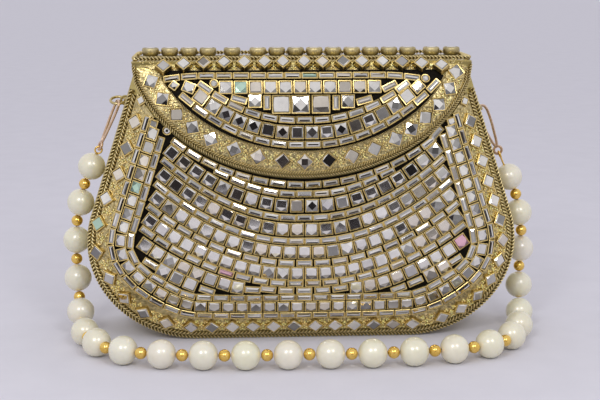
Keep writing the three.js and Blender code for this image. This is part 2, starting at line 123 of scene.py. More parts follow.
# a direction square to the one given, upwards unless that one is steep
def sideOf(along):
    first = np.array([0.0, 0.0, 1.0]) if abs(along[2]) < 0.9 else np.array([1.0, 0.0, 0.0])
    return unit(first - along * (first @ along))


# frames that follow a path without twisting
def carriedFrames(points, closed=False):
    if closed:
        ahead = np.roll(points, -1, axis=0) - np.roll(points, 1, axis=0)
    else:
        ahead = np.gradient(points, axis=0)
    ahead = unit(ahead)
    side = [sideOf(ahead[0])]
    for step in ahead[1:]:
        side.append(unit(side[-1] - step * (side[-1] @ step)))
    side = np.array(side)
    return side, np.cross(ahead, side)


def tubeFaces(count, sides, closed=False):
    faces = gridFaces(count, sides, closed, True)
    if not closed:
        faces += [tuple(range(sides))[::-1], tuple((count - 1) * sides + i for i in range(sides))]
    return faces


def tube(points, radius, sides=10, closed=False):
    points = np.asarray(points, float)
    across, over = carriedFrames(points, closed)
    turn = fullTurn(sides)[None, :, None]
    verts = points[:, None] + radius * (np.cos(turn) * across[:, None] + np.sin(turn) * over[:, None])
    return verts.reshape(-1, 3), tubeFaces(len(points), sides, closed)


def wireRing(centre, radius, across, over, wire, count, sides=10):
    turn = fullTurn(count)[:, None]
    loop = np.asarray(centre) + radius * (np.cos(turn) * across + np.sin(turn) * over)
    return tube(loop, wire, sides, closed=True)


# two wires laid round each other along a path, with painted shade where they meet and painted light on their
# outer sides
strandShape = {"sides": 6, "stepsPerPitch": 9, "apart": 0.5, "thick": 0.55, "meetPaintedShade": 0.40, "paintedLightGain": 0.7}


def twistedWire(pile, points, radius, pitch, hand, closed=False):
    points = spaced(np.asarray(points, float), pitch / strandShape["stepsPerPitch"])
    if closed:
        points = points[:-1]
    across, over = carriedFrames(points, closed)
    length = runLengths(points)[-1]
    turns = round(length / pitch) if closed else length / pitch
    angle = hand * 2 * math.pi * turns * np.arange(len(points)) / (len(points) - (0 if closed else 1))
    ringTurn = fullTurn(strandShape["sides"])[None, :]
    outer = np.clip((np.cos(ringTurn) + 0.75) / 1.6, 0, 1) ** 1.3  # 1 on the outside, 0 where the wires meet
    # painted shade where the wires meet, painted light on their outer sides
    shade = strandShape["meetPaintedShade"] + strandShape["paintedLightGain"] * outer
    for strand in (0, math.pi):
        lay = (angle + strand)[:, None]
        middle = points + radius * strandShape["apart"] * (np.cos(lay) * across + np.sin(lay) * over)
        ring = (np.cos(ringTurn + lay)[..., None] * across[:, None]
                + np.sin(ringTurn + lay)[..., None] * over[:, None])
        verts = middle[:, None] + radius * strandShape["thick"] * ring
        pour(pile, verts.reshape(-1, 3), tubeFaces(len(points), strandShape["sides"], closed),
             vertTones=np.repeat(shade, len(points), axis=0).ravel())


# round body turned about an axis, rows of (radius, height)
def turned(profile, sides):
    turn = fullTurn(sides)
    rows = [np.stack([r * np.cos(turn), r * np.sin(turn), np.full(sides, h)], 1) for r, h in profile]
    return np.concatenate(rows), tubeFaces(len(profile), sides)


def ball(sides, rings):
    rows = [(math.sin(a), -math.cos(a)) for a in np.linspace(0, math.pi, rings + 1)[1:-1]]
    verts = np.concatenate([[[0, 0, -1]], turned(rows, sides)[0], [[0, 0, 1]]])
    faces = shifted(gridFaces(len(rows), sides, False, True), 1)
    top, last = len(verts) - 1, 1 + (len(rows) - 1) * sides
    for i in range(sides):
        j = (i + 1) % sides
        faces += [(0, 1 + j, 1 + i), (top, last + i, last + j)]
    return verts, faces


def boxMesh(low, high):
    verts = [[x, y, z] for x in (low[0], high[0]) for y in (low[1], high[1]) for z in (low[2], high[2])]
    faces = [(0, 1, 3, 2), (4, 6, 7, 5), (0, 4, 5, 1), (2, 3, 7, 6), (0, 2, 6, 4), (1, 5, 7, 3)]
    return np.array(verts), faces


# flat loops at rising heights, closed at both ends
def loopStack(loops):
    count = len(loops[0][0])
    verts = np.vstack([np.column_stack([loop, np.full(count, height)]) for loop, height in loops])
    return verts, tubeFaces(len(loops), count)


def placed(verts, at, across, over, out):
    return np.asarray(at) + verts[:, :1] * across + verts[:, 1:2] * over + verts[:, 2:3] * out


# outlines and skins
def bodyOutline(count=72):
    lean = math.radians(bagShape["lean"])
    wide, tall = bagShape["cornerWide"], bagShape["cornerTall"]
    angle = np.linspace(-math.pi / 2, math.atan(tall / wide * math.tan(lean)), count)
    corner = np.stack([bagShape["baseHalf"] + wide * np.cos(angle), tall * (1 + np.sin(angle))], 1)
    rise = bagShape["rim"] - corner[-1][1]
    return np.vstack([[0, 0], corner, [corner[-1][0] - math.tan(lean) * rise, bagShape["rim"]]])


def flapOutline(count=90):
    wide, tall = flapShape["arcWide"], flapShape["arcTall"]
    angle = np.linspace(-math.pi / 2, -math.acos(flapShape["shoulderHalf"] / wide), count)
    arc = np.stack([wide * np.cos(angle), flapShape["arcMiddle"] + tall * np.sin(angle)], 1)
    return np.vstack([arc, [flapShape["half"], flapShape["plateHigh"]]])


bodyEdge = bodyOutline()
flapEdge = flapOutline()
shoulder = flapEdge[-2][1]


# distance inside the outline of the front
def edgeInset(x, z):
    x, z = np.abs(np.asarray(x, float)), np.asarray(z, float)
    nearest = np.full(np.broadcast(x, z).shape, np.inf)
    inside = np.ones_like(nearest)
    for (ax, az), (bx, bz) in zip(bodyEdge[:-1], bodyEdge[1:]):
        ex, ez = bx - ax, bz - az
        share = np.clip(((x - ax) * ex + (z - az) * ez) / (ex * ex + ez * ez), 0, 1)
        away = np.hypot(x - ax - share * ex, z - az - share * ez)
        inward = np.where(ex * (z - az) - ez * (x - ax) > 0, 1.0, -1.0)
        inside = np.where(away < nearest, inward, inside)
        nearest = np.minimum(nearest, away)
    return inside * nearest


def swell(distance, reach):
    return 1 - (1 - np.clip(distance / reach, 0, 1)) ** 2


def frontSkin(x, z):
    inset, below = edgeInset(x, z), bagShape["rim"] - np.asarray(z, float)
    roll = bagShape["roll"] * swell(inset, bagShape["rollReach"]) * swell(below, bagShape["topReach"])
    crown = bagShape["crown"] * swell(inset, bagShape["crownReach"]) * swell(below, bagShape["crownReach"])
    return -(bagShape["gussetHalf"] + roll + crown)


def backSkin(x, z):
    inset, below = edgeInset(x, z), bagShape["rim"] - np.asarray(z, float)
    return bagShape["gussetHalf"] + bagShape["backCrown"] * (
        swell(inset, bagShape["crownReach"]) * swell(below, bagShape["crownReach"]))


def onFront(places, lift):
    places = np.asarray(places, float)
    return np.stack([places[:, 0], frontSkin(places[:, 0], places[:, 1]) - lift, places[:, 1]], 1)


# places, across, over and out directions of the front at rows of (x, z, turn)
def frontFrames(places, lift):
    x, z, turn = np.asarray(places, float).T
    step = 1.5
    slopeX = (frontSkin(x + step, z) - frontSkin(x - step, z)) / (2 * step)
    slopeZ = (frontSkin(x, z + step) - frontSkin(x, z - step)) / (2 * step)
    out = unit(np.stack([slopeX, -np.ones_like(x), slopeZ], 1))
    across = unit(np.stack([np.cos(turn), slopeX * np.cos(turn) + slopeZ * np.sin(turn), np.sin(turn)], 1))
    return np.stack([x, frontSkin(x, z) - lift, z], 1), across, np.cross(out, across), out


def underFlap(x, z, clear):
    if z > shoulder:
        return abs(x) < flapShape["half"] + clear
    across = x / (flapShape["arcWide"] + clear)
    down = (z - flapShape["arcMiddle"]) / (flapShape["arcTall"] + clear)
    return across * across + down * down < 1


# right half of an outline moved inwards, from the bottom middle up
def insetPath(edge, inset, step=0.5):
    points = spaced(edge, step)
    along = unit(np.gradient(points, axis=0))
    return points + np.stack([-along[:, 1], along[:, 0]], 1) * np.asarray(inset).reshape(-1, 1)


def bothSides(path, left=None):
    left = path if left is None else left
    return np.vstack([left[:0:-1] * [-1, 1], path])


def cutAtFlap(path, clear):
    return path[[not underFlap(x, z, clear) for x, z in path]]


def levelLine(half, height, count):
    return np.stack([np.linspace(-1, 1, count) * half, np.full(count, height)], 1)


# line inside the flap's edge, as far up as highest and as far out as reach
def flapEdgeLine(inset, highest, count=None, reach=math.inf):
    run = insetPath(flapEdge, inset)
    run = run[(run[:, 1] < highest) & (run[:, 0] < reach)]
    return bothSides(run if count is None else resampled(run, count))


# places along a path at rising distances, with the turn of the path
def placesAlong(path, distances):
    run = runLengths(path)
    turn = np.unwrap(np.arctan2(*np.gradient(path, axis=0).T[::-1]))
    rows = (path[:, 0], path[:, 1], turn)
    return [tuple(float(np.interp(at, run, values)) for values in rows) for at in distances]


# closed sheet on the front between two lines of places
def sheetOnFront(fromLine, toLine, low, high, across, relief=None):
    share = np.linspace(0, 1, across + 1)[None, :, None]
    places = fromLine[:, None] * (1 - share) + toLine[:, None] * share
    rows, columns = places.shape[:2]
    flat = places.reshape(-1, 2)
    skin = frontSkin(flat[:, 0], flat[:, 1])
    bump = np.zeros(len(flat)) if relief is None else relief(flat)
    top = np.stack([flat[:, 0], skin - high - bump, flat[:, 1]], 1)
    under = np.stack([flat[:, 0], skin - low, flat[:, 1]], 1)
    count = rows * columns
    faces = gridFaces(rows, columns)
    faces += [face[::-1] for face in shifted(faces, count)]
    rim = [i * columns for i in range(rows)]
    rim += [(rows - 1) * columns + j for j in range(1, columns)]
    rim += [i * columns + columns - 1 for i in range(rows - 2, -1, -1)] + list(range(columns - 2, 0, -1))
    faces += [(a, count + a, count + b, b) for a, b in zip(rim, rim[1:] + rim[:1])]
    return np.vstack([top, under]), faces, bump


# finishes
def feed(tree, socket, value):
    if isinstance(value, bpy.types.NodeSocket):
        tree.links.new(value, socket)
    else:
        socket.default_value = value


def addNode(tree, kind, settings=None, **inputs):
    node = tree.nodes.new("ShaderNode" + kind)
    for name, value in (settings or {}).items():
        setattr(node, name, value)
    for name, value in inputs.items():
        feed(tree, node.inputs[name.replace("_", " ")], value)
    return node


# fine grain between two colours, times the tones of the mesh unless plain; bump is strength and depth
def grainFinish(name, dark, light, rough, scale, detail=4.0, at=(0.3, 0.7), bump=None, plain=False,
                **sockets):
    material = bpy.data.materials.new(name)
    material.use_nodes = True
    tree = material.node_tree
    place = addNode(tree, "TexCoord").outputs["Object"]
    grain = addNode(tree, "TexNoise", Vector=place, Scale=scale, Detail=detail, Roughness=0.6).outputs["Fac"]
    bands = addNode(tree, "ValToRGB", Fac=grain)
    for element, position, colour in zip(bands.color_ramp.elements, at, (dark, light)):
        element.position, element.color = position, (*colour, 1)
    sockets["Base_Color"] = bands.outputs["Color"]
    if not plain:
        tone = addNode(tree, "Attribute", {"attribute_name": "tone"}).outputs["Color"]
        mix = addNode(tree, "Mix", {"data_type": "RGBA", "blend_type": "MULTIPLY"}, Factor=1,
                      A=bands.outputs["Color"], B=tone)
        sockets["Base_Color"] = mix.outputs["Result"]
    sheen = addNode(tree, "MapRange", Value=grain, To_Min=rough[0], To_Max=rough[1])
    sockets["Roughness"] = sheen.outputs["Result"]
    if bump is not None:
        relief = addNode(tree, "Bump", Height=grain, Strength=bump[0], Distance=bump[1])
        sockets["Normal"] = relief.outputs["Normal"]
    for socket, value in sockets.items():
        feed(tree, tree.nodes["Principled BSDF"].inputs[socket.replace("_", " ")], value)
    return material


def metalFinish(name, dark, light, rough, scale=700.0, bump=(0.25, 0.0002)):
    return grainFinish(name, dark, light, rough, scale, at=(0.32, 0.68), bump=bump, Metallic=1.0)


antiqueBrass = metalFinish("antiqueBrass", (0.62, 0.485, 0.205), (0.95, 0.795, 0.43), (0.26, 0.44))
sheetBrass = metalFinish("sheetBrass", (0.42, 0.33, 0.12), (0.56, 0.46, 0.19), (0.26, 0.40),
                         160.0, (0.15, 0.0004))
ropeBrass = metalFinish("ropeBrass", (0.60, 0.48, 0.215), (0.88, 0.735, 0.385), (0.26, 0.40))
bezelGold = metalFinish("bezelGold", (0.62, 0.455, 0.155), (0.87, 0.68, 0.30), (0.22, 0.36),
                        900.0, (0.1, 0.0002))
beadGold = metalFinish("beadGold", (0.80, 0.51, 0.11), (0.95, 0.67, 0.20), (0.14, 0.24),
                       300.0, (0.05, 0.0002))
roseGold = metalFinish("roseGold", (0.62, 0.42, 0.28), (0.80, 0.60, 0.44), (0.20, 0.32),
                       500.0, (0.08, 0.0002))
cupBrass = metalFinish("cupBrass", (0.48, 0.395, 0.20), (0.68, 0.575, 0.32), (0.38, 0.52))
foilGlass = grainFinish("foilGlass", (0.84, 0.84, 0.85), (0.97, 0.97, 0.97), (0.04, 0.12), 260.0, 2.0,
                        Metallic=1.0, Coat_Weight=0.3, Coat_Roughness=0.02)
blackLac = grainFinish("blackLac", (0.003, 0.002, 0.0015), (0.014, 0.011, 0.007), (0.5, 0.75), 500.0,
                       at=(0.35, 0.7), bump=(0.4, 0.0005), plain=True, Specular_IOR_Level=0.06)
creamPearl = grainFinish(
    "creamPearl", (0.70, 0.675, 0.53), (0.79, 0.765, 0.63), (0.34, 0.44), 120.0, 3.0,
    Specular_IOR_Level=1.0, Specular_Tint=(1.0, 0.95, 0.78, 1), Coat_Weight=1.0, Coat_Roughness=0.24,
    Coat_IOR=1.9, Subsurface_Weight=0.15, Subsurface_Scale=0.003, Subsurface_Radius=(1.0, 0.75, 0.4),
    Sheen_Weight=0.4, Sheen_Roughness=0.35, Sheen_Tint=(0.85, 0.80, 0.45, 1))
palePaper = grainFinish("palePaper", (0.655, 0.645, 0.70), (0.685, 0.675, 0.73), (0.7, 0.85), 40.0, 6.0,
                        plain=True, Specular_IOR_Level=0.15)
print("finishes ready")

# body shell: domed front, back and gusset in one, open at the mouth
shellGrid = {"edge": 150, "top": 60, "rings": (
    0.12, 0.24, 0.36, 0.48, 0.58, 0.66, 0.73, 0.79, 0.84, 0.88, 0.915, 0.945, 0.97, 0.985, 1)}


def panel(inset, skin, lift):
    half = resampled(insetPath(bodyEdge, inset), shellGrid["edge"])
    half[-1][1] = bagShape["rim"]
    outline, reach = bothSides(half), half[-1][0]
    top = np.stack([np.linspace(reach, -reach, shellGrid["top"] + 1)[1:-1],
                    np.full(shellGrid["top"] - 1, bagShape["rim"])], 1)
    loop = np.vstack([outline, top])
    centre = np.array([0, bagShape["middle"]])
    rings = [centre + (loop - centre) * share for share in shellGrid["rings"]]
    flat = np.vstack([[centre], *rings])
    verts = np.stack([flat[:, 0], skin(flat[:, 0], flat[:, 1]) + lift, flat[:, 1]], 1)
    count = len(loop)
    faces = shifted(gridFaces(len(rings), count, False, True), 1)
    faces += [(0, 1 + i, 1 + (i + 1) % count) for i in range(count)]
    return verts, faces, 1 + (len(rings) - 1) * count, len(outline), count


def bodyShell():
    wall = bagShape["wall"]
    sheets = [panel(0, frontSkin, 0), panel(0, backSkin, 0),
              panel(wall, frontSkin, wall), panel(wall, backSkin, -wall)]
    verts, faces, starts = [], [], []
    for sheetVerts, sheetFaces, edgeStart, edgeCount, loopCount in sheets:
        faces += shifted(sheetFaces, len(verts))
        starts.append(len(verts) + edgeStart)
        verts.extend(sheetVerts.tolist())
    frontOut, backOut, frontIn, backIn = starts
    for i in range(edgeCount - 1):  # gusset, outside and inside
        faces.append((frontOut + i, backOut + i, backOut + i + 1, frontOut + i + 1))
        faces.append((frontIn + i, frontIn + i + 1, backIn + i + 1, backIn + i))
    topLoop = list(range(edgeCount - 1, loopCount)) + [0]
    for i, j in zip(topLoop, topLoop[1:]):  # rim of the mouth
        faces.append((frontOut + i, frontIn + i, frontIn + j, frontOut + j))
        faces.append((backOut + i, backOut + j, backIn + j, backIn + i))
    for i in (0, edgeCount - 1):
        faces.append((frontOut + i, backOut + i, backIn + i, frontIn + i))
    return np.array(verts), faces


# hinge: tube knuckles on leaves, every second one to each side
hingeShape = {"span": 100, "knuckles": 5, "radius": 2.1, "play": 0.4, "sides": 24, "chamfer": 0.3,
              "leafIn": 0.3}
hingeAt = np.array([0, bagShape["gussetHalf"] + hingeShape["radius"] + hingeShape["play"],
                    bagShape["rim"] - hingeShape["play"]])
rightward, backward, upward = np.eye(3)


def knuckles(pile, first, leafY, leafLow, leafHigh):
    pitch = hingeShape["span"] / hingeShape["knuckles"]
    length = pitch - hingeShape["play"]
    radius, chamfer = hingeShape["radius"], hingeShape["chamfer"]
    profile = [(radius - chamfer, 0), (radius, chamfer), (radius, length - chamfer),
               (radius - chamfer, length)]
    verts, faces = turned(profile, hingeShape["sides"])
    for k in range(first, hingeShape["knuckles"], 2):
        start = -hingeShape["span"] / 2 + k * pitch + hingeShape["play"] / 2
        pour(pile, placed(verts, hingeAt + [start, 0, 0], backward, upward, rightward), faces)
        pour(pile, *boxMesh((start, leafY, leafLow), (start + length, hingeAt[1], leafHigh)))


# staples and rings on the gusset: the left ring stands out, the right one hangs from its hook
ringShape = {"height": 118, "radius": 3.65, "wire": 0.7, "stapleRadius": 2, "stapleWire": 0.65, "lift": 1.2,
             "tone": 0.8}
ringRest = {
    -1: {"name": "left", "drop": 0, "tilt": 23, "grip": "front", "hookTurn": -22},
    1: {"name": "right", "drop": 50, "tilt": 0, "grip": "out", "hookTurn": 90},
}


def gussetPoint(side):
    lean = math.radians(bagShape["lean"])
    x = bodyEdge[-1][0] + math.tan(lean) * (bagShape["rim"] - ringShape["height"])
    out = np.array([side * math.cos(lean), 0, math.sin(lean)])
    return np.array([side * x, 0, ringShape["height"]]) + ringShape["lift"] * out


def ringAxes(side):
    drop, tilt = math.radians(ringRest[side]["drop"]), math.radians(ringRest[side]["tilt"])
    return {"out": np.array([side * math.cos(drop), 0, -math.sin(drop)]),
            "front": np.array([0, -math.cos(tilt), -math.sin(tilt)])}


def ringCentre(side):
    return gussetPoint(side) + ringShape["radius"] * ringAxes(side)["out"]


shell = heap()
pour(shell, *bodyShell())
knuckles(shell, 0, bagShape["gussetHalf"] - bagShape["wall"] / 2, hingeAt[2] - hingeShape["radius"],
         hingeAt[2] - hingeShape["leafIn"])
for side in (-1, 1):
    pour(shell, *wireRing(gussetPoint(side), ringShape["stapleRadius"], rightward, upward,
                          ringShape["stapleWire"], count=40))
bodyPiece = addPiece("bodyShell", shell, sheetBrass, "bag")
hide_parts("body_shell")

for side in (-1, 1):
    axes, ringPile = ringAxes(side), heap()
    pour(ringPile, *wireRing(ringCentre(side), ringShape["radius"], axes["out"], axes["front"],
                             ringShape["wire"], count=56, sides=12), ringShape["tone"])
    piece = addPiece("ring" + ringRest[side]["name"].title(), ringPile, ropeBrass, "bag")
    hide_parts("ring_" + ringRest[side]["name"])
print("shell, hinge and rings built")

# stones: gold cups with foil-backed glass
stoneKinds = {  # over the rim: width, height, then wall and how much wider the foot is
    "square": (6.7, 6.7, 0.5, 0.1), "baguette": (8.0, 3.55, 0.58, 0.1), "big": (9.0, 9.0, 0.6, 0.1),
    "slim": (3.6, 7.2, 0.58, 0.1), "diamond": (5.7, 5.7, 0.52, 0.8), "chip": (4.2, 4.2, 0.5, 0.4),
    "mirror": (6.4, 6.4, 0.4, 0.3), "round": (4.5, 4.5, 0.5, 0.1), "tile": (6.3, 5.5, 0.5, 0.1),
    "lozenge": (6.2, 6.2, 0.5, 0.6), "sliver": (7.8, 2.9, 0.46, 0.1),
}
barKinds = ("baguette", "slim", "sliver")
setting = {  # heights are from the rim of the cup
    "chamfer": 0.14, "corner": 0.28, "leastCorner": 0.05, "lip": 0.05, "seat": 0.9, "glassPlay": 0.02,
    "glassDrop": 0.35, "glassRise": 0.3, "glassDeep": 0.5, "midLift": 0.16, "barDrop": 0.1, "barRise": 0.16,
    "raisedFoot": 0.5,
}
# tones of a cup's faces: painted shade on its outer and inner walls and its ends, full tone on the rim
bezelPaintedShade = {"outside": 0.55, "raised": 0.7, "rim": 1.0, "inside": 0.5, "ends": 0.4}
tints = [  # colour of the foil and its share
    ((1.0, 0.97, 0.89), 0.70), ((0.97, 0.89, 0.75), 0.21), ((0.84, 0.81, 0.76), 0.08),
    ((1.0, 0.60, 0.68), 0.004), ((0.66, 0.90, 0.72), 0.006),
]
# painted light and shade of the glass facets, by cut
tablePaintedLight = [  # table, lower, upper and side bevels, share
    (0.97, 0.36, 0.95, 0.72, 0.46), (0.92, 0.62, 0.85, 0.90, 0.20), (0.34, 0.92, 0.98, 0.86, 0.14),
    (0.66, 0.46, 1.0, 0.58, 0.20),
]
barPaintedLight = [  # upper bevel, table, lower bevel, ends, share
    (0.62, 1.0, 0.34, 0.66, 0.45), (0.50, 1.0, 0.42, 0.72, 0.30), (0.92, 0.36, 0.82, 0.66, 0.25),
]
toothedPaintedLight = (0.98, 0.34, 0.97, 0.85)  # table, lower, upper and side bevels
# painted glint of a turned table and painted light and shade of its bevels
turnedTableGlints, turnedBevelShades = (0.97, 0.92, 0.45, 0.34), (0.36, 0.40, 0.97, 0.97)
cutMixes = {  # cut of the square stones and its share
    "front": [("toothed", 0.66), ("turned", 0.20), ("step", 0.14)],
    "flap": [("turned", 0.55), ("toothed", 0.25), ("step", 0.20)],
    "border": [("step", 1.0)], "mirror": [("step", 0.55), ("turned", 0.45)],
}
squareCorners = [(-1, -1), (1, -1), (1, 1), (-1, 1)]
sideMiddles = [(0, -1), (1, 0), (0, 1), (-1, 0)]
# painted shade on the glass inside its cup
hiddenPaintedShade = 0.5  # of glass inside its cup


def drawn(rows):
    pick, total = dice.random(), 0
    for row in rows:
        total += row[-1]
        if pick < total:
            return row
    return rows[-1]


def anyTint():
    shade = dice.uniform(0.86, 1.0)
    return tuple(c * shade for c in drawn(tints)[0])


def rectLoop(wide, tall, cut):
    w, t = wide / 2, tall / 2
    return np.array([(-w + cut, -t), (w - cut, -t), (w, -t + cut), (w, t - cut),
                     (w - cut, t), (-w + cut, t), (-w, t - cut), (-w, -t + cut)])


def bezelMesh(kind, depth):
    wide, tall, wall, foot = stoneKinds[kind]
    chamfer, corner = setting["chamfer"], setting["corner"]
    inside = rectLoop(wide - 2 * wall, tall - 2 * wall, max(corner - wall * 0.4, setting["leastCorner"]))
    loops = [(rectLoop(wide + foot, tall + foot, corner), 0), (rectLoop(wide, tall, corner), depth - chamfer),
             (rectLoop(wide - 2 * chamfer, tall - 2 * chamfer, corner), depth),
             (inside, depth - setting["lip"]), (inside, depth - setting["seat"])]
    verts, faces = loopStack(loops)
    # the walls and ends of the cup take painted shade
    outside = bezelPaintedShade["raised" if foot > setting["raisedFoot"] else "outside"]
    bands = (outside, bezelPaintedShade["rim"], bezelPaintedShade["rim"], bezelPaintedShade["inside"])
    return verts, faces, [shade for shade in bands for _ in inside] + [bezelPaintedShade["ends"]] * 2


def glassHalf(kind):
    wide, tall, wall, _ = stoneKinds[kind]
    return wide / 2 - wall + setting["glassPlay"], tall / 2 - wall + setting["glassPlay"]


# square glass: a plain step cut, one with two teeth of painted shade under its table, or a table set on its
# corner; every facet carries painted light or shade
def tableGlass(kind, depth, cut):
    w, t = glassHalf(kind)
    girdle, crown = depth - setting["glassDrop"], depth + setting["glassRise"]
    edge = [spot for pair in zip(squareCorners, sideMiddles) for spot in pair]
    inner = dice.uniform(0.74, 0.86)
    table = [(x * inner, y * inner) for x, y in (sideMiddles if cut == "turned" else squareCorners)]
    if cut == "toothed":
        table = [(x, -dice.uniform(0.25, 0.42) if y < 0 else y) for x, y in table]
    verts = [(x * w, y * t, girdle - setting["glassDeep"]) for x, y in edge]
    verts += [(x * w, y * t, girdle + (setting["midLift"] if i % 2 else 0)) for i, (x, y) in enumerate(edge)]
    verts += [(x * w, y * t, crown) for x, y in table]
    faces = [tuple(range(8))[::-1]] + [(i, (i + 1) % 8, 8 + (i + 1) % 8, 8 + i) for i in range(8)]
    shades = [hiddenPaintedShade] * len(faces)
    face, lower, upper, sideways, _ = drawn(tablePaintedLight)
    if cut == "turned":
        face, bevels = dice.choice(turnedTableGlints), turnedBevelShades
    else:
        if cut == "toothed":
            face, lower, upper, sideways = toothedPaintedLight
        bevels = (lower, sideways, upper, sideways)
    # each facet takes a painted light or shade
    for i, shade in enumerate(bevels):
        a, m, b = 8 + 2 * i, 9 + 2 * i, 8 + (2 * i + 2) % 8
        here, after = 16 + i, 16 + (i + 1) % 4
        if cut == "turned":
            faces += [(a, here, 16 + (i + 3) % 4), (a, m, here), (m, b, here)]
            shades += [shade * dice.uniform(0.75, 1.1), 0.75, 0.65]
        else:
            between = 0.95 if cut == "toothed" and i == 0 else shade * dice.uniform(0.9, 1.25)
            faces += [(a, m, here), (m, after, here), (m, b, after)]
            shades += [shade * dice.uniform(0.7, 1.05), between, shade * dice.uniform(0.7, 1.05)]
    faces.append((16, 17, 18, 19))
    return np.array(verts), faces, [min(s, 1.05) for s in shades + [face]]


# bar glass: a narrow table near the middle between two long bevels, each facet with painted light or shade
def barGlass(kind, depth):
    w, t = glassHalf(kind)
    girdle, crown = depth - setting["glassDrop"] + setting["barDrop"], depth + setting["barRise"]
    verts = [(x * w, y * t, girdle - setting["glassDeep"]) for x, y in squareCorners]
    verts += [(x * w, y * t, girdle) for x, y in squareCorners]
    ridge = min(w, t) * dice.uniform(-0.3, 0.1)
    inset, strip = min(w, t) * 0.8, min(w, t) * 0.26
    faces = [(3, 2, 1, 0)] + [(i, (i + 1) % 4, 4 + (i + 1) % 4, 4 + i) for i in range(4)]
    shades = [hiddenPaintedShade] * len(faces)
    upper, table, lower, tips, _ = drawn(barPaintedLight)
    if w > t:
        verts += [(x * (w - inset), ridge + y * strip, crown) for x, y in squareCorners]
        shades += [lower, tips, upper, tips]
    else:
        verts += [(ridge + x * strip, y * (t - inset), crown) for x, y in squareCorners]
        shades += [tips, lower, tips, upper]
    faces += [(4 + i, 4 + (i + 1) % 4, 8 + (i + 1) % 4, 8 + i) for i in range(4)] + [(8, 9, 10, 11)]
    return np.array(verts), faces, shades + [table]


def roundStone(depth):
    radius, _, wall, _ = stoneKinds["round"]
    radius, chamfer = radius / 2, setting["chamfer"]
    rim = radius - wall
    cup = [(radius, 0), (radius, depth - chamfer), (radius - chamfer, depth),
           (rim, depth - setting["lip"]), (rim, depth - setting["seat"])]
    edge = rim + setting["glassPlay"]
    glass = [(edge, depth - setting["seat"]), (edge, depth - setting["glassDrop"]),
             (radius * 0.62, depth + 0.2), (radius * 0.3, depth + 0.42)]
    verts, faces = turned(glass, 10)
    # each facet of the glass takes a random painted glint or shade
    return (*turned(cup, 20), None), (verts, faces, [dice.uniform(0.5, 1.0) for _ in faces])


def setStone(kind, at, across, over, out, depth, bezels, glass, mix, wobble):
    if kind == "round":
        cup, stone = roundStone(depth)
    else:
        cup = bezelMesh(kind, depth)
        bar = kind in barKinds
        stone = barGlass(kind, depth) if bar else tableGlass(kind, depth, drawn(cutMixes[mix])[0])
    pour(bezels, placed(cup[0], at, across, over, out), cup[1], faceTones=cup[2])
    lean = math.radians(wobble)
    tip = unit(out + math.tan(dice.uniform(-lean, lean)) * across
               + math.tan(dice.uniform(-lean, lean)) * over)
    side = unit(across - tip * (across @ tip))
    pour(glass, placed(stone[0] - [0, 0, depth], at + out * depth, side, np.cross(tip, side), tip), stone[1],
         anyTint(), faceTones=stone[2])


# sets stones (x, z, turn, kind) on the front with feet, depth and wobble from their sizes
def setStones(stones, sizes, bezels, glass, mix):
    frames = zip(*frontFrames([stone[:3] for stone in stones], sizes["foot"]))
    for stone, axes in zip(stones, frames):
        setStone(stone[3], *axes, sizes["depth"], bezels, glass, mix, sizes["wobble"])


# front field: a track of three rows round the edge, then rows that hang like the flap's edge
trackRows = [  # kind, inset, pitch, phase, how far the row cuts the lower corner
    ("baguette", 14.5, 8.25, 0.0, 2.7), ("tile", 19.0, 6.85, 0.5, 3.3), ("baguette", 23.5, 8.25, 0.0, 3.7),
]
trackCorner = {"at": 86, "reach": 30, "easeFrom": 104, "easeTo": 138, "closeFrom": 192, "closeTo": 212,
               "close": 10}
trackEase = {-1: 1.2, 1: 0.3}  # further up a side the track runs nearer to the edge
trackClear, fieldClip = 0.4, 24.8
hangRows = [  # kind, height at the middle, phase, least x, greatest x
    ("baguette", 75.9, 0.0, 0, 99), ("square", 70.0, 0.5, 0, 99), ("baguette", 64.0, 0.0, 0, 99),
    ("square", 58.1, 0.5, 0, 99), ("baguette", 52.3, 0.5, 0, 99), ("square", 46.7, 0.0, 0, 99),
    ("baguette", 41.2, 0.0, 0, 99), ("square", 35.9, 0.5, 0, 99), ("baguette", 30.8, 0.5, 0, 99),
    ("baguette", 27.1, 0.0, 0, 18), ("square", 25.2, 0.0, 30, 99),
]
hang = {"square": 7.2, "baguette": 8.45, "flat": 4, "bend": 0.0098, "bendGrowth": 0.000118, "bendFrom": 28,
        "overlap": 0.6, "flapClear": 4.3}
rowStretch = {"least": 0.945, "most": 1.06, "step": 0.25, "reach": 100, "points": 401}
cornerHeight = 19.4
cornerRow = {  # kind and x of the lowest row, on the left and the right
    -1: [("baguette", 48.0), ("square", 56.1), ("square", 62.7), ("square", 69.1), ("baguette", 75.3)],
    1: [("baguette", 47.0), ("baguette", 55.3), ("square", 62.9), ("square", 69.4), ("baguette", 75.0)],
}
looseStones = [  # x, z, turn, kind of stones set one by one between the rows
    (25.9, 28.3, 0.08, "square"), (32.8, 29.5, 0.18, "square"), (-32.9, 29.3, -0.18, "square"),
    (-25.6, 27.9, -0.07, "baguette"), (-66.0, 107.1, 0, "round"), (64.4, 104.9, 0.85, "baguette"),
    (-40.3, 86.1, -0.43, "sliver"), (40.6, 85.9, 0.43, "sliver"), (-72.1, 110.2, -0.31, "chip"),
    (71.4, 110.3, 0.31, "chip"),
]
# one row of baguettes follows the flap
flapRow = {"middle": 3.5, "side": 2.7, "sideAt": 70, "pitch": 8.65, "count": 14}
roundShare, neighbourReach = 0.71, 11


def sagCurve(height, bend, flat):
    return lambda x: height + bend / 2 * np.maximum(0, np.abs(x) - flat) ** 2


def hangCurve(height):
    bend = hang["bend"] + (height - hang["bendFrom"]) * hang["bendGrowth"]
    return sagCurve(height, bend, hang["flat"])


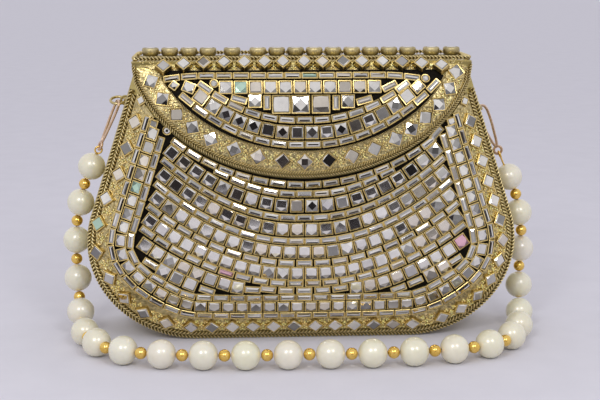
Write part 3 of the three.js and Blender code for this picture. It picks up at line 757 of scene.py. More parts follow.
# points on a stone, given as shares of its half width and half height
def stonePoints(stone, shares, extra=0.0):
    x, z, turn, kind = stone
    c, s = math.cos(turn), math.sin(turn)
    size = roundShare if kind == "round" else 1.0
    a, b = (shares[:, k] * (stoneKinds[kind][k] + extra) / 2 * size for k in (0, 1))
    return np.stack([x + c * a - s * b, z + s * a + c * b], 1)


cornerShares = np.array(squareCorners, float)
gridShares = np.array([(s, t) for s in np.linspace(-1, 1, 5) for t in np.linspace(-1, 1, 5)])


def stoneCorners(stone):
    return stonePoints(stone, cornerShares, stoneKinds[stone[3]][3])


def clearOfFlap(stone, clear=trackClear):
    return not any(underFlap(x, z, clear) for x, z in stoneCorners(stone))


# path inside the edge that cuts the lower corner
def trackPath(inset, side, pull=3.0, closing=False):
    run = runLengths(spaced(bodyEdge, 0.5))
    share = np.clip((run - trackCorner["easeFrom"]) / (trackCorner["easeTo"] - trackCorner["easeFrom"]), 0, 1)
    cut = pull * np.exp(-((run - trackCorner["at"]) / trackCorner["reach"]) ** 2)
    inset = inset + cut - trackEase[side] * share * share * (3 - 2 * share)
    if closing:  # the border turns in to the flap above the last stones
        rest = (run - trackCorner["closeFrom"]) / (trackCorner["closeTo"] - trackCorner["closeFrom"])
        inset = inset + trackCorner["close"] * np.clip(rest, 0, 1) ** 2
    return insetPath(bodyEdge, inset)


def edgeLine(inset, clear, count):
    paths = [cutAtFlap(trackPath(inset, side, closing=True), clear) for side in (1, -1)]
    return bothSides(*(resampled(path, count) for path in paths))


insideLines = {side: trackPath(fieldClip, side, trackRows[-1][-1]) for side in (-1, 1)}


def insideField(stone):
    insideLine = insideLines[1 if stone[0] > 0 else -1]
    for x, z in stoneCorners(stone):
        near = np.hypot(insideLine[:, 0] - abs(x), insideLine[:, 1] - z).argmin()
        here = insideLine[near]
        ahead = insideLine[min(near + 1, len(insideLine) - 1)] - insideLine[max(near - 1, 0)]
        if ahead[0] * (z - here[1]) - ahead[1] * (abs(x) - here[0]) < 0:
            return False
    return True


def fitsBelowFlap(stone):
    return clearOfFlap(stone, hang["flapClear"]) and insideField(stone)


def stonesOnPath(path, kind, distances, side, fits):
    stones = [(side * x, z, side * turn, kind) for x, z, turn in placesAlong(path, distances)]
    return [stone for stone in stones if fits(stone)]


def trackStones():
    stones = []
    for kind, inset, pitch, phase, pull in trackRows:
        for side in (1, -1):
            path = trackPath(inset, side, pull)
            distances = [(n + phase) * pitch for n in range(int(runLengths(path)[-1] / pitch))]
            distances = [at for at in distances if at > 0 or side > 0]
            stones += stonesOnPath(path, kind, distances, side, clearOfFlap)
    return stones


# stones along one hanging row, stretched a little so that the last one meets the track
def rowStones(kind, curve, pitch, phase, least, greatest, fits):
    x = np.linspace(0, rowStretch["reach"], rowStretch["points"])
    path = np.stack([x, curve(x)], 1)
    run = runLengths(path)
    end = np.interp(greatest, x, run)
    while end > 0 and not stonesOnPath(path, kind, [end], 1, fits):
        end -= rowStretch["step"]
    if least > 0:
        distances = [end - n * pitch for n in range(int(end / pitch))]
        distances = [at for at in distances if np.interp(at, run, x) > least]
    else:
        count = int(round(end / pitch - phase))
        if end / (count + phase) < pitch * rowStretch["least"]:
            count -= 1
        stretched = min(end / (count + phase), pitch * rowStretch["most"])
        distances = [(n + phase) * stretched for n in range(count + 1)]
    stones = stonesOnPath(path, kind, distances, 1, fits)
    return stones + [(-x, z, -turn, name) for x, z, turn, name in stones if abs(x) > 0.01]


def gapsToStones(points, stones):
    table = np.array([(x, z, math.cos(turn), math.sin(turn), stoneKinds[kind][0] / 2, stoneKinds[kind][1] / 2)
                      for x, z, turn, kind in stones])
    dx, dz = points[:, None, 0] - table[None, :, 0], points[:, None, 1] - table[None, :, 1]
    along, up = dx * table[:, 2] + dz * table[:, 3], -dx * table[:, 3] + dz * table[:, 2]
    wide, tall = np.abs(along) - table[:, 4], np.abs(up) - table[:, 5]
    return np.hypot(np.maximum(wide, 0), np.maximum(tall, 0)) + np.minimum(np.maximum(wide, tall), 0)


# tests one stone against its neighbours by points spread over each
def isFree(stone, stones, clear):
    near = [other for other in stones
            if math.hypot(other[0] - stone[0], other[1] - stone[1]) < neighbourReach]
    if not near:
        return True
    if gapsToStones(stonePoints(stone, gridShares), near).min() < clear:
        return False
    return gapsToStones(np.vstack([stonePoints(other, gridShares) for other in near]), [stone]).min() > clear


def fieldStones():
    share = np.clip(insetPath(flapEdge, 0)[:, 0] / flapRow["sideAt"], 0, 1)
    path = insetPath(flapEdge, -(flapRow["middle"] + (flapRow["side"] - flapRow["middle"]) * share))
    distances = [(n + 0.5) * flapRow["pitch"] for n in range(flapRow["count"])]
    stones = stonesOnPath(path, "baguette", distances, -1, insideField)
    stones += stonesOnPath(path, "baguette", distances, 1, insideField)
    for kind, height, phase, least, greatest in hangRows:
        inRow = rowStones(kind, hangCurve(height), hang[kind], phase, least, greatest, fitsBelowFlap)
        stones += [stone for stone in inRow if isFree(stone, stones, -hang["overlap"])]
    stones += looseStones
    curve = hangCurve(cornerHeight)
    for side, row in cornerRow.items():
        for kind, x in row:
            turn = math.atan(curve(x + 0.5) - curve(x - 0.5))
            stones.append((side * x, float(curve(x)), side * turn, kind))
    return stones


frontStones = trackStones() + fieldStones()
frontSetting = {"foot": 0.8, "depth": 2.3, "wobble": 2.6, "lacLow": 0.65, "lacHigh": 1.5}
frontBezels, frontGlass = heap(), heap()
setStones(frontStones, frontSetting, frontBezels, frontGlass, "front")
print("front field", len(frontStones), "stones")

fieldEdge = {"inset": 12.4, "flapClear": 0.9, "endInset": 5.0, "along": 91, "across": 46}


def lacSheet(fromLine, toLine, sizes, across):
    verts, faces, _ = sheetOnFront(fromLine, toLine, sizes["lacLow"], sizes["lacHigh"], across)
    pile = heap()
    pour(pile, verts, faces)
    return pile


lowLine = edgeLine(fieldEdge["inset"], fieldEdge["flapClear"], fieldEdge["along"])
flapSide = insetPath(flapEdge, -fieldEdge["flapClear"])
flapInset = edgeInset(flapSide[:, 0], flapSide[:, 1])
highRuns = [flapSide[flapInset > fieldEdge["inset"] - trackEase[side] + fieldEdge["endInset"]]
            for side in (1, -1)]
highLine = bothSides(*(resampled(run, fieldEdge["along"]) for run in highRuns))
lacPile = lacSheet(lowLine, highLine, frontSetting, fieldEdge["across"])
frontLac = addPiece("frontLac", lacPile, blackLac, "bag")
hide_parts("front_mosaic")

# embossed borders
granuleRows = [  # along the border, across it (inwards), radius
    (-2.7, 2.4, 0.58), (-1.8, 3.1, 0.52), (-1.6, 1.9, 0.50), (2.7, 2.4, 0.58), (1.8, 3.1, 0.52),
    (1.6, 1.9, 0.50),
    (0.0, 1.0, 0.62), (-0.85, 0.1, 0.50), (0.85, 0.1, 0.50), (0.0, -0.8, 0.52),
    (0.0, -2.4, 0.58), (-1.0, -3.0, 0.50), (1.0, -3.0, 0.50),
]
middleGranules = granuleRows[6:10]
scrollRows = [(-2.1, -1.3, 0.95), (2.1, -1.3, 0.95)]  # along, across, radius
# band tones: painted shade in the relief's hollows and on the sheet's underside, painted highlights on
# granules, scrolls and grains
emboss = {
    "depth": 0.22, "grain": 0.9, "fine": 2.3, "fineShare": 0.6, "scrollWire": 0.27, "smallest": 0.22,
    "largest": 0.40, "grainLift": 0.05, "grainClear": 0.5, "sheetTone": 0.66, "reliefPaintedLight": 0.6,
    "sheetTones": (0.24, 1.1), "underPaintedShade": 0.4, "granuleHighlights": (1.25, 1.55), "grainHighlights": (0.8, 1.45),
    "scrollHighlight": 1.3,
}


def embossRelief(places):
    coarse, fine, share = emboss["grain"], emboss["fine"], emboss["fineShare"]
    return np.array([emboss["depth"] * (noise.noise(Vector((x * coarse, z * coarse, 3.1)))
                                        + share * noise.noise(Vector((x * fine, z * fine, 7.7))))
                     for x, z in places])


def addBorder(pile, fromLine, toLine, sizes):
    verts, faces, bump = sheetOnFront(fromLine, toLine, sizes["low"], sizes["high"], sizes["across"],
                                      embossRelief)
    # painted shade in the hollows of the relief and painted light on its highs
    shade = emboss["sheetTone"] + bump / emboss["depth"] * emboss["reliefPaintedLight"]
    shade = np.clip(shade, *emboss["sheetTones"])
    # painted shade on the sheet's underside and edges
    under = np.full(len(verts) - len(shade), emboss["underPaintedShade"])
    pour(pile, verts, faces, vertTones=np.concatenate([shade, under]))


def addGranules(pile, places, sizes, rows, rings):
    grain, each = ball(8, 5), rows + rings
    lift = sizes["high"] + sizes["granuleLift"]
    at, across, over, out = frontFrames(places, lift)
    centres = np.array([at[i] + across[i] * row[0] + over[i] * row[1]
                        for i in range(len(places)) for row in each])
    centres[:, 1] = frontSkin(centres[:, 0], centres[:, 2]) - lift
    for number, centre in enumerate(centres):
        i, row = divmod(number, len(each))
        radius = each[row][2]
        # granules and scroll wires are brightened as painted highlights
        if row < len(rows):
            verts = placed(grain[0] * radius, centre, across[i], over[i], out[i])
            pour(pile, verts, grain[1], dice.uniform(*emboss["granuleHighlights"]))
        else:
            scroll = wireRing(centre, radius, across[i], over[i], emboss["scrollWire"], count=14, sides=6)
            pour(pile, *scroll, emboss["scrollHighlight"])


# loose fine grains over a border, kept clear of its stones, brightened as painted highlights
def sprinkleGrains(pile, path, sizes, stones):
    grain, half = ball(6, 4), sizes["grainHalf"]
    run, step = runLengths(path), 0.5
    spots = []
    while len(spots) < sizes["grains"]:
        at = dice.uniform(step, run[-1] - step)
        here, before, after = (np.array([np.interp(d, run, path[:, k]) for k in (0, 1)])
                               for d in (at, at - step, at + step))
        ahead = unit(after - before)
        off = dice.uniform(-half, half)
        x, z = here[0] - ahead[1] * off, here[1] + ahead[0] * off
        if gapsToStones(np.array([(x, z)]), stones).min() > emboss["grainClear"]:
            spots.append((x, z, 0.0))
    for axes in zip(*frontFrames(spots, sizes["high"] + emboss["grainLift"])):
        radius = dice.uniform(emboss["smallest"], emboss["largest"])
        pour(pile, placed(grain[0] * radius, *axes), grain[1], dice.uniform(*emboss["grainHighlights"]))


def runsToDistances(runs, half):
    return sorted(half + side * (start + n * pitch)
                  for side, start, pitch, count in runs for n in range(count))


def betweenEach(distances):
    return [(a + b) / 2 for a, b in zip(distances, distances[1:])]


# stones set on their corner along a path
def cornerwise(path, distances, kind):
    return [(x, z, turn + math.pi / 4, kind) for x, z, turn in placesAlong(path, distances)]


frontBorder = {"outer": 4.7, "inner": 12.1, "stones": 8.1, "leftStones": 5.6, "leftFrom": -90, "leftAbove": 40,
               "low": 0.65, "high": 1.35, "foot": 0.9, "depth": 1.9, "wobble": 5.0, "flapClear": 0.9,
               "along": 421, "across": 14, "granuleLift": 0.25, "grains": 900, "grainHalf": 3.3,
               "grainFlapClear": 3.5}
borderRuns = [  # side, distance of the first stone from the bottom middle, pitch, count
    (-1, 4.8, 10.3, 6), (-1, 68.7, 12.2, 4), (-1, 118.6, 13.4, 6), (1, 6.0, 9.8, 6), (1, 70.4, 10.4, 12),
]
borderEnds = [(-1, 196.5), (1, 195.2)]  # small stones beside the flap
borderHalf = insetPath(bodyEdge, frontBorder["stones"])
half = runLengths(borderHalf)[-1]
borderPath = bothSides(borderHalf)
borderAt = runsToDistances(borderRuns, half)
sideIn = insetPath(bodyEdge, frontBorder["leftStones"])


def borderPlace(x, z):
    if x < frontBorder["leftFrom"] and z > frontBorder["leftAbove"]:  # the left side's stones sit further out
        near = np.hypot(sideIn[:, 0] + x, sideIn[:, 1] - z).argmin()
        return -sideIn[near][0], sideIn[near][1]
    return x, z


borderStones = [(*borderPlace(x, z), turn, kind)
                for x, z, turn, kind in cornerwise(borderPath, borderAt, "lozenge")]
borderStones += cornerwise(borderPath, [half + side * at for side, at in borderEnds], "chip")
setStones(borderStones, frontBorder, frontBezels, frontGlass, "border")
outerHalf = cutAtFlap(insetPath(bodyEdge, frontBorder["outer"]), frontBorder["flapClear"])
outerLine = bothSides(resampled(outerHalf, frontBorder["along"]))
innerLine = edgeLine(frontBorder["inner"], frontBorder["flapClear"], frontBorder["along"])
border = heap()
addBorder(border, outerLine, innerLine, frontBorder)
addGranules(border, placesAlong(borderPath, betweenEach(borderAt)), frontBorder, granuleRows, scrollRows)
grainPath = bothSides(cutAtFlap(borderHalf, frontBorder["grainFlapClear"]))
sprinkleGrains(border, grainPath, frontBorder, borderStones)
frontBand = addPiece("frontBand", border, antiqueBrass, "bag")
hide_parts("front_band")
frontBezelPiece = addPiece("frontBezels", frontBezels, bezelGold, "bag", sharp=25)
frontGlassPiece = addPiece("frontStones", frontGlass, foilGlass, "bag", sharp=1)
print("front border", len(borderStones), "stones")

# twisted wires round the front
wires = {"radius": 1.05, "pitch": 3.6, "lift": 1.65, "outerInset": 1.2, "innerInset": 3.5, "flapClear": 2.4,
         "plateLift": 0.2, "sharp": 60}
for name, inset, hand in (("Outer", wires["outerInset"], 1), ("Inner", wires["innerInset"], -1)):
    line = bothSides(cutAtFlap(insetPath(bodyEdge, inset), wires["flapClear"]))
    pile = heap()
    twistedWire(pile, onFront(line, wires["lift"]), wires["radius"], wires["pitch"], hand)
    piece = addPiece("frontRope" + name, pile, ropeBrass, "bag", sharp=wires["sharp"])
    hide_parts("front_rope_" + name.lower())

# flap: top plate and front drop in one, with its knuckles
flapGrid = {"along": 121, "across": 30, "cornerSteps": 8, "bevel": 0.5, "lowBevel": 0.4, "edgeBelow": 1.5,
            "topIn": 0.6, "topUp": 0.8}


def plateOutline(inset):
    right = flapShape["half"] - inset
    low, high = flapShape["plateFront"] + inset, flapShape["plateBack"] - inset
    points = []
    for side, corner, start in ((1, "frontCorner", -90), (1, "backCorner", 0),
                                (-1, "backCorner", 90), (-1, "frontCorner", 180)):
        radius = flapShape[corner]
        cx, cy = side * (right - radius), low + radius if corner == "frontCorner" else high - radius
        for k in range(flapGrid["cornerSteps"] + 1):
            turn = math.radians(start + 90 * k / flapGrid["cornerSteps"])
            points.append((cx + radius * math.cos(turn), cy + radius * math.sin(turn)))
    return np.array(points)


lid = heap()
bevelled, widest = plateOutline(flapGrid["bevel"]), plateOutline(0)
plateLow, plateHigh = flapShape["plateLow"], flapShape["plateHigh"]
pour(lid, *loopStack([(bevelled, plateLow), (widest, plateLow + flapGrid["lowBevel"]),
                      (widest, plateHigh - flapGrid["bevel"]), (bevelled, plateHigh)]))
lowerEdge = flapEdgeLine(0, plateLow - flapGrid["edgeBelow"], (flapGrid["along"] + 1) // 2)
upperEdge = levelLine(flapShape["half"] - flapGrid["topIn"], plateLow + flapGrid["topUp"], flapGrid["along"])
verts, faces, _ = sheetOnFront(lowerEdge, upperEdge, flapShape["standOff"], flapFace, flapGrid["across"])
pour(lid, verts, faces)
knuckles(lid, 1, flapShape["plateBack"] - bagShape["wall"], plateLow + hingeShape["leafIn"],
         hingeAt[2] + hingeShape["radius"] - hingeShape["leafIn"])
flapPiece = addPiece("flapShell", lid, sheetBrass, "flap")
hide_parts("flap_shell")

# flap field: three arcs, a straight row along the top and a middle row with large stones
flapRows = [  # kind, height at the middle, bend, flat, phase, greatest x
    ("baguette", 100.3, 0.0157, 4, 0.5, 62.5), ("square", 106.2, 0.0166, 5, 0.5, 55.2),
    ("baguette", 112.2, 0.0155, 4, 0.0, 47.6),
]
flapTop = {"height": 131.9, "start": -63.4, "pitch": 8.27, "count": 15, "sag": 0.004, "bendAt": 42,
           "middle": -5.5}
flapStraight = {"height": 126.9, "start": -37.7, "pitch": 7.16, "count": 11}
flapField = {"under": 132.2, "inset": 11.3, "overlap": 1.5}
middleRow = [  # kind, x, z, turn, with the stones that fill its ends
    ("big", -11.2, 119.4, 0), ("big", -1.9, 119.4, 0), ("big", 7.9, 119.4, 0),
    ("slim", -18.0, 120.3, 0), ("slim", 15.2, 120.1, 0), ("square", -23.8, 121.0, 0),
    ("square", 20.9, 120.6, 0), ("baguette", -31.4, 121.7, -0.27), ("baguette", 28.9, 121.0, 0.27),
    ("round", -43.3, 128.6, 0), ("round", 58.9, 130.4, 0), ("baguette", 41.3, 127.0, 0.42),
    ("chip", -62.3, 127.8, -0.6), ("tile", -55.3, 127.0, -0.35), ("tile", 55.0, 126.8, 0.70),
]
flapRim = bothSides(spaced(flapEdge, 1.0))


def insideFlap(stone):
    return all(z < flapField["under"]
               and np.hypot(flapRim[:, 0] - x, flapRim[:, 1] - z).min() > flapField["inset"]
               for x, z in stoneCorners(stone))


flapStones = []
for n in range(flapTop["count"]):
    x = flapTop["start"] + n * flapTop["pitch"]
    past = max(0, abs(x - flapTop["middle"]) - flapTop["bendAt"])
    turn = -math.copysign(math.atan(2 * flapTop["sag"] * past), x)
    flapStones.append((x, flapTop["height"] - flapTop["sag"] * past ** 2, turn, "baguette"))
for n in range(flapStraight["count"]):
    x = flapStraight["start"] + n * flapStraight["pitch"]
    flapStones.append((x, flapStraight["height"], 0, "square"))
flapStones += [(x, z, turn, kind) for kind, x, z, turn in middleRow]
for kind, height, bend, flat, phase, reach in flapRows:
    inRow = rowStones(kind, sagCurve(height, bend, flat), hang[kind], phase, 0, reach, insideFlap)
    flapStones += [stone for stone in inRow if isFree(stone, flapStones, -flapField["overlap"])]
flapSetting = {"foot": flapFace + 0.4, "depth": 2.5, "wobble": 2.6,
               "lacLow": flapFace + 0.1, "lacHigh": flapFace + 1.2}
flapBezels, flapGlass = heap(), heap()
setStones(flapStones, flapSetting, flapBezels, flapGlass, "flap")

flapLacEdge = {"inset": 13.4, "top": 135.4, "half": 66.5, "endDown": 2.5, "endOut": 2, "along": 141,
               "across": 24}
lowLine = flapEdgeLine(flapLacEdge["inset"], flapLacEdge["top"] - flapLacEdge["endDown"],
                       (flapLacEdge["along"] + 1) // 2, flapLacEdge["half"] + flapLacEdge["endOut"])
topLine = levelLine(flapLacEdge["half"], flapLacEdge["top"], flapLacEdge["along"])
lacPile = lacSheet(lowLine, topLine, flapSetting, flapLacEdge["across"])
flapLac = addPiece("flapLac", lacPile, blackLac, "flap")
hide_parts("flap_mosaic")
print("flap field", len(flapStones), "stones")

# flap border, with flat mirrors round the edge and raised stones along the shoulder
flapBorder = {"outer": 2.6, "inner": 13.0, "stones": 8.0, "low": flapFace + 0.1, "high": flapFace + 1.0,
              "foot": flapFace + 0.6, "depth": 1.5, "wobble": 7.0, "top": 136.6, "innerTop": 134.2,
              "along": 261, "across": 18, "granuleLift": 0.25, "grains": 620, "grainHalf": 4.4}
mirrorRuns = [  # side, distance of the first mirror from the bottom middle, pitch, count
    (1, 0, 0, 1), (-1, 10.6, 12.2, 4), (-1, 57.6, 9.6, 4), (1, 11.8, 11.4, 4), (1, 54.8, 8.9, 4),
    (1, 93.5, 0, 1),
]
shoulderRow = {"count": 15, "pitch": 9.6, "y": -26.0, "z": 138.3, "tip": 40, "depth": 2.4, "wobble": 5.0,
               "endDrop": 0.19, "dropFrom": 4, "dropOut": 0.8, "stray": 0.4}
shoulderStrip = {"lowHalf": 67, "lowAt": 134.9, "highHalf": 79, "highAt": 137.4, "along": 201, "across": 6,
                 "low": flapBorder["low"] - 0.05, "high": flapBorder["high"], "granulesAt": 136.2,
                 "granuleLift": 0.2}
flapHalf = insetPath(flapEdge, flapBorder["stones"])
flapPath = bothSides(flapHalf)
flapAt = runsToDistances(mirrorRuns, runLengths(flapHalf)[-1])
flapMirrors = cornerwise(flapPath, flapAt, "mirror")
setStones(flapMirrors, flapBorder, flapBezels, flapGlass, "mirror")

tip = math.radians(shoulderRow["tip"])
shoulderOut = np.array([0, -math.cos(tip), math.sin(tip)])
shoulderUp = np.cross(shoulderOut, rightward)
diagonal = math.sqrt(0.5)
middle = (shoulderRow["count"] - 1) / 2
for n in range(shoulderRow["count"]):
    drop = shoulderRow["endDrop"] * max(0, abs(n - middle) - shoulderRow["dropFrom"]) ** 2
    x = (n - middle) * shoulderRow["pitch"] + dice.uniform(-shoulderRow["stray"], shoulderRow["stray"])
    at = np.array([x, shoulderRow["y"] - drop * shoulderRow["dropOut"], shoulderRow["z"] - drop])
    setStone("diamond", at, (rightward + shoulderUp) * diagonal, (shoulderUp - rightward) * diagonal,
             shoulderOut, shoulderRow["depth"], flapBezels, flapGlass, "border", shoulderRow["wobble"])

outerLine = flapEdgeLine(flapBorder["outer"], flapBorder["top"], flapBorder["along"])
innerLine = flapEdgeLine(flapBorder["inner"], flapBorder["innerTop"], flapBorder["along"])
border = heap()
addBorder(border, outerLine, innerLine, flapBorder)
stripLow = levelLine(shoulderStrip["lowHalf"], shoulderStrip["lowAt"], shoulderStrip["along"])
stripHigh = levelLine(shoulderStrip["highHalf"], shoulderStrip["highAt"], shoulderStrip["along"])
addBorder(border, stripLow, stripHigh, shoulderStrip)
addGranules(border, placesAlong(flapPath, betweenEach(flapAt)), flapBorder, granuleRows, scrollRows)
stripX = [(n - middle) * shoulderRow["pitch"] + shoulderRow["pitch"] / 2
          for n in range(shoulderRow["count"] - 1)]
stripPlaces = [(x, shoulderStrip["granulesAt"], 0.0) for x in stripX]
addGranules(border, stripPlaces, shoulderStrip, middleGranules, [])
sprinkleGrains(border, flapPath, flapBorder, flapMirrors)
flapBand = addPiece("flapBand", border, antiqueBrass, "flap")
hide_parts("flap_band")
flapBezelPiece = addPiece("flapBezels", flapBezels, bezelGold, "flap", sharp=25)
flapGlassPiece = addPiece("flapStones", flapGlass, foilGlass, "flap", sharp=1)

# wires of the flap: round edge, fine ones beside it and inside the border, and round the top plate
flapWires = [  # inset, lift over the flap, radius, pitch, hand, highest z
    (0.9, 1.2, 0.8, 2.6, 1, 138), (2.6, 1.3, 0.8, 2.6, -1, 136), (13.0, 1.35, 0.5, 1.8, 1, 133),
]
pile = heap()
for inset, lift, radius, pitch, hand, highest in flapWires:
    twistedWire(pile, onFront(flapEdgeLine(inset, highest), flapFace + lift), radius, pitch, hand)
flapRope = addPiece("flapRope", pile, ropeBrass, "flap", sharp=wires["sharp"])
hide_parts("flap_rope")

plateLoop = plateOutline(wires["outerInset"])
plateLoop = np.vstack([plateLoop, plateLoop[:1]])
ropeHeight = flapShape["plateHigh"] + wires["plateLift"] + wires["radius"]
plateLoop = np.column_stack([plateLoop, np.full(len(plateLoop), ropeHeight)])
pile = heap()
twistedWire(pile, plateLoop, wires["radius"], wires["pitch"], 1, closed=True)
topRope = addPiece("topRope", pile, ropeBrass, "flap", sharp=wires["sharp"])
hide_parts("top_rope")
print("flap built")

# row of round cups along the top plate, in uneven runs
cupRow = {"floor": 139.85, "cupFloor": 140.45, "belly": 4.3, "stripHalf": 2.5, "stripTall": 0.8,
          "stripPast": 2, "stripTone": 0.6, "sides": 28, "glassSides": 12, "cupTones": (0.75, 1.0),
          "glassGlints": (0.5, 1.0), "footPaintedShade": 0.45, "paintedLightRise": 0.55, "riseTo": 2.0}
cupRuns = [(-75.3, 9.6, 4), (-34.4, 0, 1), (-21.4, 9.5, 9), (66.7, 10.3, 2)]  # start, pitch, count
cupProfile = [  # radius from the belly, height
    (-0.9, 0.2), (-0.45, 0.6), (-0.1, 1.3), (0, 2.2), (-0.02, 3.1), (-0.2, 3.8), (-0.55, 4.15), (-0.95, 4.2),
    (-1.0, 3.4),
]
cupGlassProfile = [(3.25, 3.3), (3.25, 3.85), (2.2, 4.2), (1.0, 4.28)]  # radius, height
cups, cupGlass = heap(), heap()
cupPlaces = [start + n * pitch for start, pitch, count in cupRuns for n in range(count)]
stripFrom = (cupPlaces[0] - cupRow["stripPast"], -cupRow["stripHalf"], cupRow["floor"])
stripTo = (cupPlaces[-1] + cupRow["stripPast"], cupRow["stripHalf"], cupRow["floor"] + cupRow["stripTall"])
pour(cups, *boxMesh(stripFrom, stripTo), cupRow["stripTone"])
cup = turned([(cupRow["belly"] + r, h) for r, h in cupProfile], cupRow["sides"])
cupStone = turned(cupGlassProfile, cupRow["glassSides"])
# painted shade towards the foot of each cup, full tone from riseTo upwards
cupPaintedShade = [cupRow["footPaintedShade"] + cupRow["paintedLightRise"] * min(1, h / cupRow["riseTo"])
             for _, h in cupProfile for _ in range(cupRow["sides"])]
for x in cupPlaces:
    at = np.array([x, 0, cupRow["cupFloor"]])
    pour(cups, cup[0] + at, cup[1], dice.uniform(*cupRow["cupTones"]), vertTones=cupPaintedShade)
    # each facet of the cup's glass takes a random painted glint or shade
    pour(cupGlass, cupStone[0] + at, cupStone[1], anyTint(),
         faceTones=[dice.uniform(*cupRow["glassGlints"]) for _ in cupStone[1]])
cupPiece = addPiece("topCups", cups, cupBrass, "flap")
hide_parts("top_stones")
cupGlassPiece = addPiece("topStones", cupGlass, foilGlass, "flap", sharp=1)

# handle: pearls where their solids are, a gold bead between each pair
beadShape = {"pearl": 13.8, "gold": 5.8, "hole": 0.9, "goldHole": 0.8, "middle": (0, -74.6, 6.9)}
pearlNames = sorted(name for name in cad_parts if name.startswith("pearl_"))


def nodeMiddle(name):
    points = np.array([v.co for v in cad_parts[name].data.vertices])
    return points.mean(axis=0) / mm


pearlAt = np.array([nodeMiddle(name) for name in pearlNames])
middle = len(pearlAt) // 2
threadAt = {middle: np.array(beadShape["middle"])}
for i in range(middle, len(pearlAt)):
    threadAt[i + 1] = 2 * pearlAt[i] - threadAt[i]
for i in range(middle - 1, -1, -1):
    threadAt[i] = 2 * pearlAt[i] - threadAt[i + 1]


def upright(direction):
    along = unit(np.asarray(direction, float))
    across = sideOf(along)
    return across, np.cross(along, across), along


def drilledBall(radius, hole, sides, rings):
    lip = math.asin(hole / radius)
    bore, deep = hole * 0.8, radius * 0.86  # the hole narrows a little way in
    outside = [(radius * math.sin(a), -radius * math.cos(a)) for a in np.linspace(lip, math.pi - lip, rings)]
    return turned([(bore, -deep)] + outside + [(bore, deep)], sides)


pearlMesh = drilledBall(beadShape["pearl"] / 2, beadShape["hole"], sides=48, rings=30)
pearls = heap()
for i in range(len(pearlAt)):
    pour(pearls, placed(pearlMesh[0], pearlAt[i], *upright(threadAt[i + 1] - threadAt[i])), pearlMesh[1],
         (1.0, dice.uniform(0.97, 1.0), dice.uniform(0.92, 1.02)))
pearlPiece = addPiece("pearls", pearls, creamPearl, "bag", sharp=50)
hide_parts(*pearlNames)

goldMesh = drilledBall(beadShape["gold"] / 2, beadShape["hole"] * beadShape["goldHole"], sides=32, rings=20)
beads = heap()
for i in range(1, len(pearlAt)):
    pour(beads, placed(goldMesh[0], threadAt[i], *upright(pearlAt[i] - pearlAt[i - 1])), goldMesh[1])

# hooks: a long wire loop over the ring with a small eye, then the thread's end ring
hookShape = {"wire": 0.7, "eyeRadius": 2, "eyeAt": 22.9, "seat": 0.5, "play": 0.2, "endRing": 1.8,
             "endWire": 0.45, "thread": 0.45}
hookRows = [  # along, half width
    (-2.1, 0), (-1.4, 1.9), (0.4, 2.6), (6, 2.6), (13, 1.8), (19.3, 0.8), (20.9, 0),
]


# smooth closed line through the points, with count steps between each two
def smoothLoop(points, count):
    total = len(points)
    made = []
    for i in range(total):
        p = [points[(i + k) % total] for k in (-1, 0, 1, 2)]
        t = [0.0]
        for a, b in zip(p, p[1:]):
            t.append(t[-1] + math.sqrt(np.linalg.norm(b - a)))
        for share in np.linspace(0, 1, count, endpoint=False):
            at = t[1] + share * (t[2] - t[1])
            a = [p[k] + (p[k + 1] - p[k]) * (at - t[k]) / (t[k + 1] - t[k]) for k in range(3)]
            b = [a[k] + (a[k + 1] - a[k]) * (at - t[k]) / (t[k + 2] - t[k]) for k in range(2)]
            made.append(b[0] + (b[1] - b[0]) * (at - t[1]) / (t[2] - t[1]))
    return np.array(made)


endReach = (hookShape["eyeAt"] + hookShape["eyeRadius"] - hookShape["wire"] - hookShape["endWire"]
            - hookShape["play"] + hookShape["endRing"])
for side in (-1, 1):
    rest = ringRest[side]
    bend = ringCentre(side) + ringShape["radius"] * ringAxes(side)[rest["grip"]]
    lastBead = threadAt[1 if side < 0 else len(pearlAt) - 1]
    along = unit(lastBead - bend)
    across = unit(backward - along * along[1])
    swing = math.radians(rest["hookTurn"])
    across = across * math.cos(swing) + np.cross(along, across) * math.sin(swing)
    through = np.cross(along, across)
    bend = bend + along * hookShape["seat"]
    outline = [bend + along * a + across * h for a, h in hookRows]
    outline += [bend + along * a - across * h for a, h in hookRows[-2:0:-1]]
    hookPile = heap()
    pour(hookPile, *tube(smoothLoop(outline, 8), hookShape["wire"], closed=True))
    eye = bend + along * hookShape["eyeAt"]
    pour(hookPile, *wireRing(eye, hookShape["eyeRadius"], along, across, hookShape["wire"], count=32))
    piece = addPiece("hook" + rest["name"].title(), hookPile, roseGold, "bag")
    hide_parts("hook_" + rest["name"])
    tie = bend + along * endReach
    pour(beads, *wireRing(tie, hookShape["endRing"], along, through, hookShape["endWire"], count=28, sides=8))
    thread = np.linspace(tie + along * hookShape["endRing"], lastBead, 6)
    pour(beads, *tube(thread, hookShape["thread"], sides=8))
beadPiece = addPiece("goldBeads", beads, beadGold, "bag", sharp=50)
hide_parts("bead_run_left", "bead_run_front", "bead_run_right")

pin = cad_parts["hinge_pin"]
pin.data.materials.clear()
pin.data.materials.append(ropeBrass)
print("handle built", len(pearlAt), "pearls")

# stage: a sheet of pale paper, two soft boxes and a dim spot in the room where the camera stands, in metres
paper = {"front": -0.36, "back": 9.0, "side": 6.0}
floorMesh = bpy.data.meshes.new("paperFloor")
floorCorners = [(x, y, 0) for x, y in ((-paper["side"], paper["front"]), (paper["side"], paper["front"]),
                                       (paper["side"], paper["back"]), (-paper["side"], paper["back"]))]
floorMesh.from_pydata(floorCorners, [], [(0, 1, 2, 3)])
floorMesh.materials.append(palePaper)
floor = bpy.data.objects.new("paperFloor", floorMesh)
bpy.context.collection.objects.link(floor)

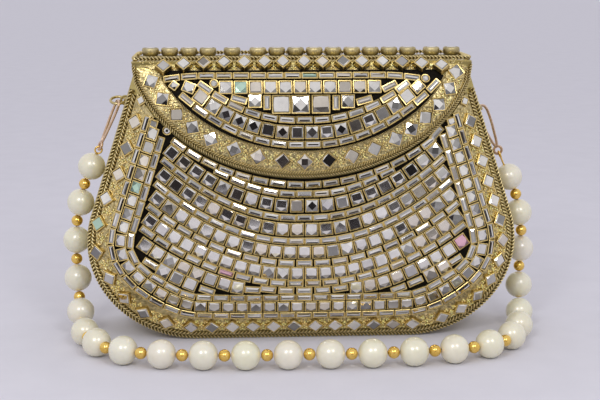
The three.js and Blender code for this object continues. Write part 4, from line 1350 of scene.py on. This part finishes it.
softBoxes = [  # azimuth from the front, elevation, distance, size, watts
    (-22, 36, 0.95, 0.17, 1.5), (20, 38, 0.95, 0.17, 1.1),
]
lampAim = Vector((0, 0, 0.06))
for azimuth, elevation, distance, size, watts in softBoxes:
    lamp = bpy.data.lights.new("softBox", "AREA")
    lamp.shape, lamp.size, lamp.energy = "SQUARE", size, watts
    a, e = math.radians(azimuth), math.radians(elevation)
    box = bpy.data.objects.new("softBox", lamp)
    box.location = (distance * math.sin(a) * math.cos(e), -distance * math.cos(a) * math.cos(e),
                    distance * math.sin(e))
    box.rotation_euler = (lampAim - box.location).to_track_quat("-Z", "Y").to_euler()
    bpy.context.collection.objects.link(box)

roomLight = {"pale": (0.79, 0.78, 0.825, 1), "dim": (0.045, 0.04, 0.045, 1), "wide": (0.18, 0.42),
             "tall": (0.10, 0.30), "ahead": (-0.6, -0.3), "height": -0.10}
room = bpy.data.worlds.new("room")
bpy.context.scene.world = room
room.use_nodes = True
tree = room.node_tree


def roomMath(operation, *values):
    node = addNode(tree, "Math", {"operation": operation})
    for socket, value in zip(node.inputs, values):
        feed(tree, socket, value)
    return node.outputs["Value"]


def roomFade(source, start, end):
    return addNode(tree, "MapRange", {"interpolation_type": "SMOOTHSTEP"}, Value=source, From_Min=start,
                   From_Max=end, To_Min=1, To_Max=0).outputs["Result"]


direction = addNode(tree, "TexCoord").outputs["Generated"]
split = addNode(tree, "SeparateXYZ", Vector=direction).outputs
aside = roomMath("ABSOLUTE", split["X"])
above = roomMath("ABSOLUTE", roomMath("SUBTRACT", split["Z"], roomLight["height"]))
dimShare = roomMath("MULTIPLY", roomFade(aside, *roomLight["wide"]), roomFade(above, *roomLight["tall"]))
dimShare = roomMath("MULTIPLY", dimShare, roomFade(split["Y"], *roomLight["ahead"]))
roomColour = addNode(tree, "Mix", {"data_type": "RGBA"}, Factor=dimShare, A=roomLight["pale"],
                     B=roomLight["dim"])
background = tree.nodes["Background"]
feed(tree, background.inputs["Color"], roomColour.outputs["Result"])
background.inputs["Strength"].default_value = 1.0
bpy.context.scene.view_settings.view_transform = "Standard"

# camera at the photograph's place
shot = {"lens": 74.0, "at": (-0.0366, -0.6256, 0.1846), "down": 10.71, "turn": -3.34}
lensData = bpy.data.cameras.new("camera")
lensData.lens, lensData.sensor_width = shot["lens"], 36
lensData.clip_start, lensData.clip_end = 0.01, 50
camera = bpy.data.objects.new("camera", lensData)
camera.location = shot["at"]
camera.rotation_euler = (math.radians(90 - shot["down"]), 0, math.radians(shot["turn"]))
bpy.context.collection.objects.link(camera)
bpy.context.scene.camera = camera
print("stage ready")
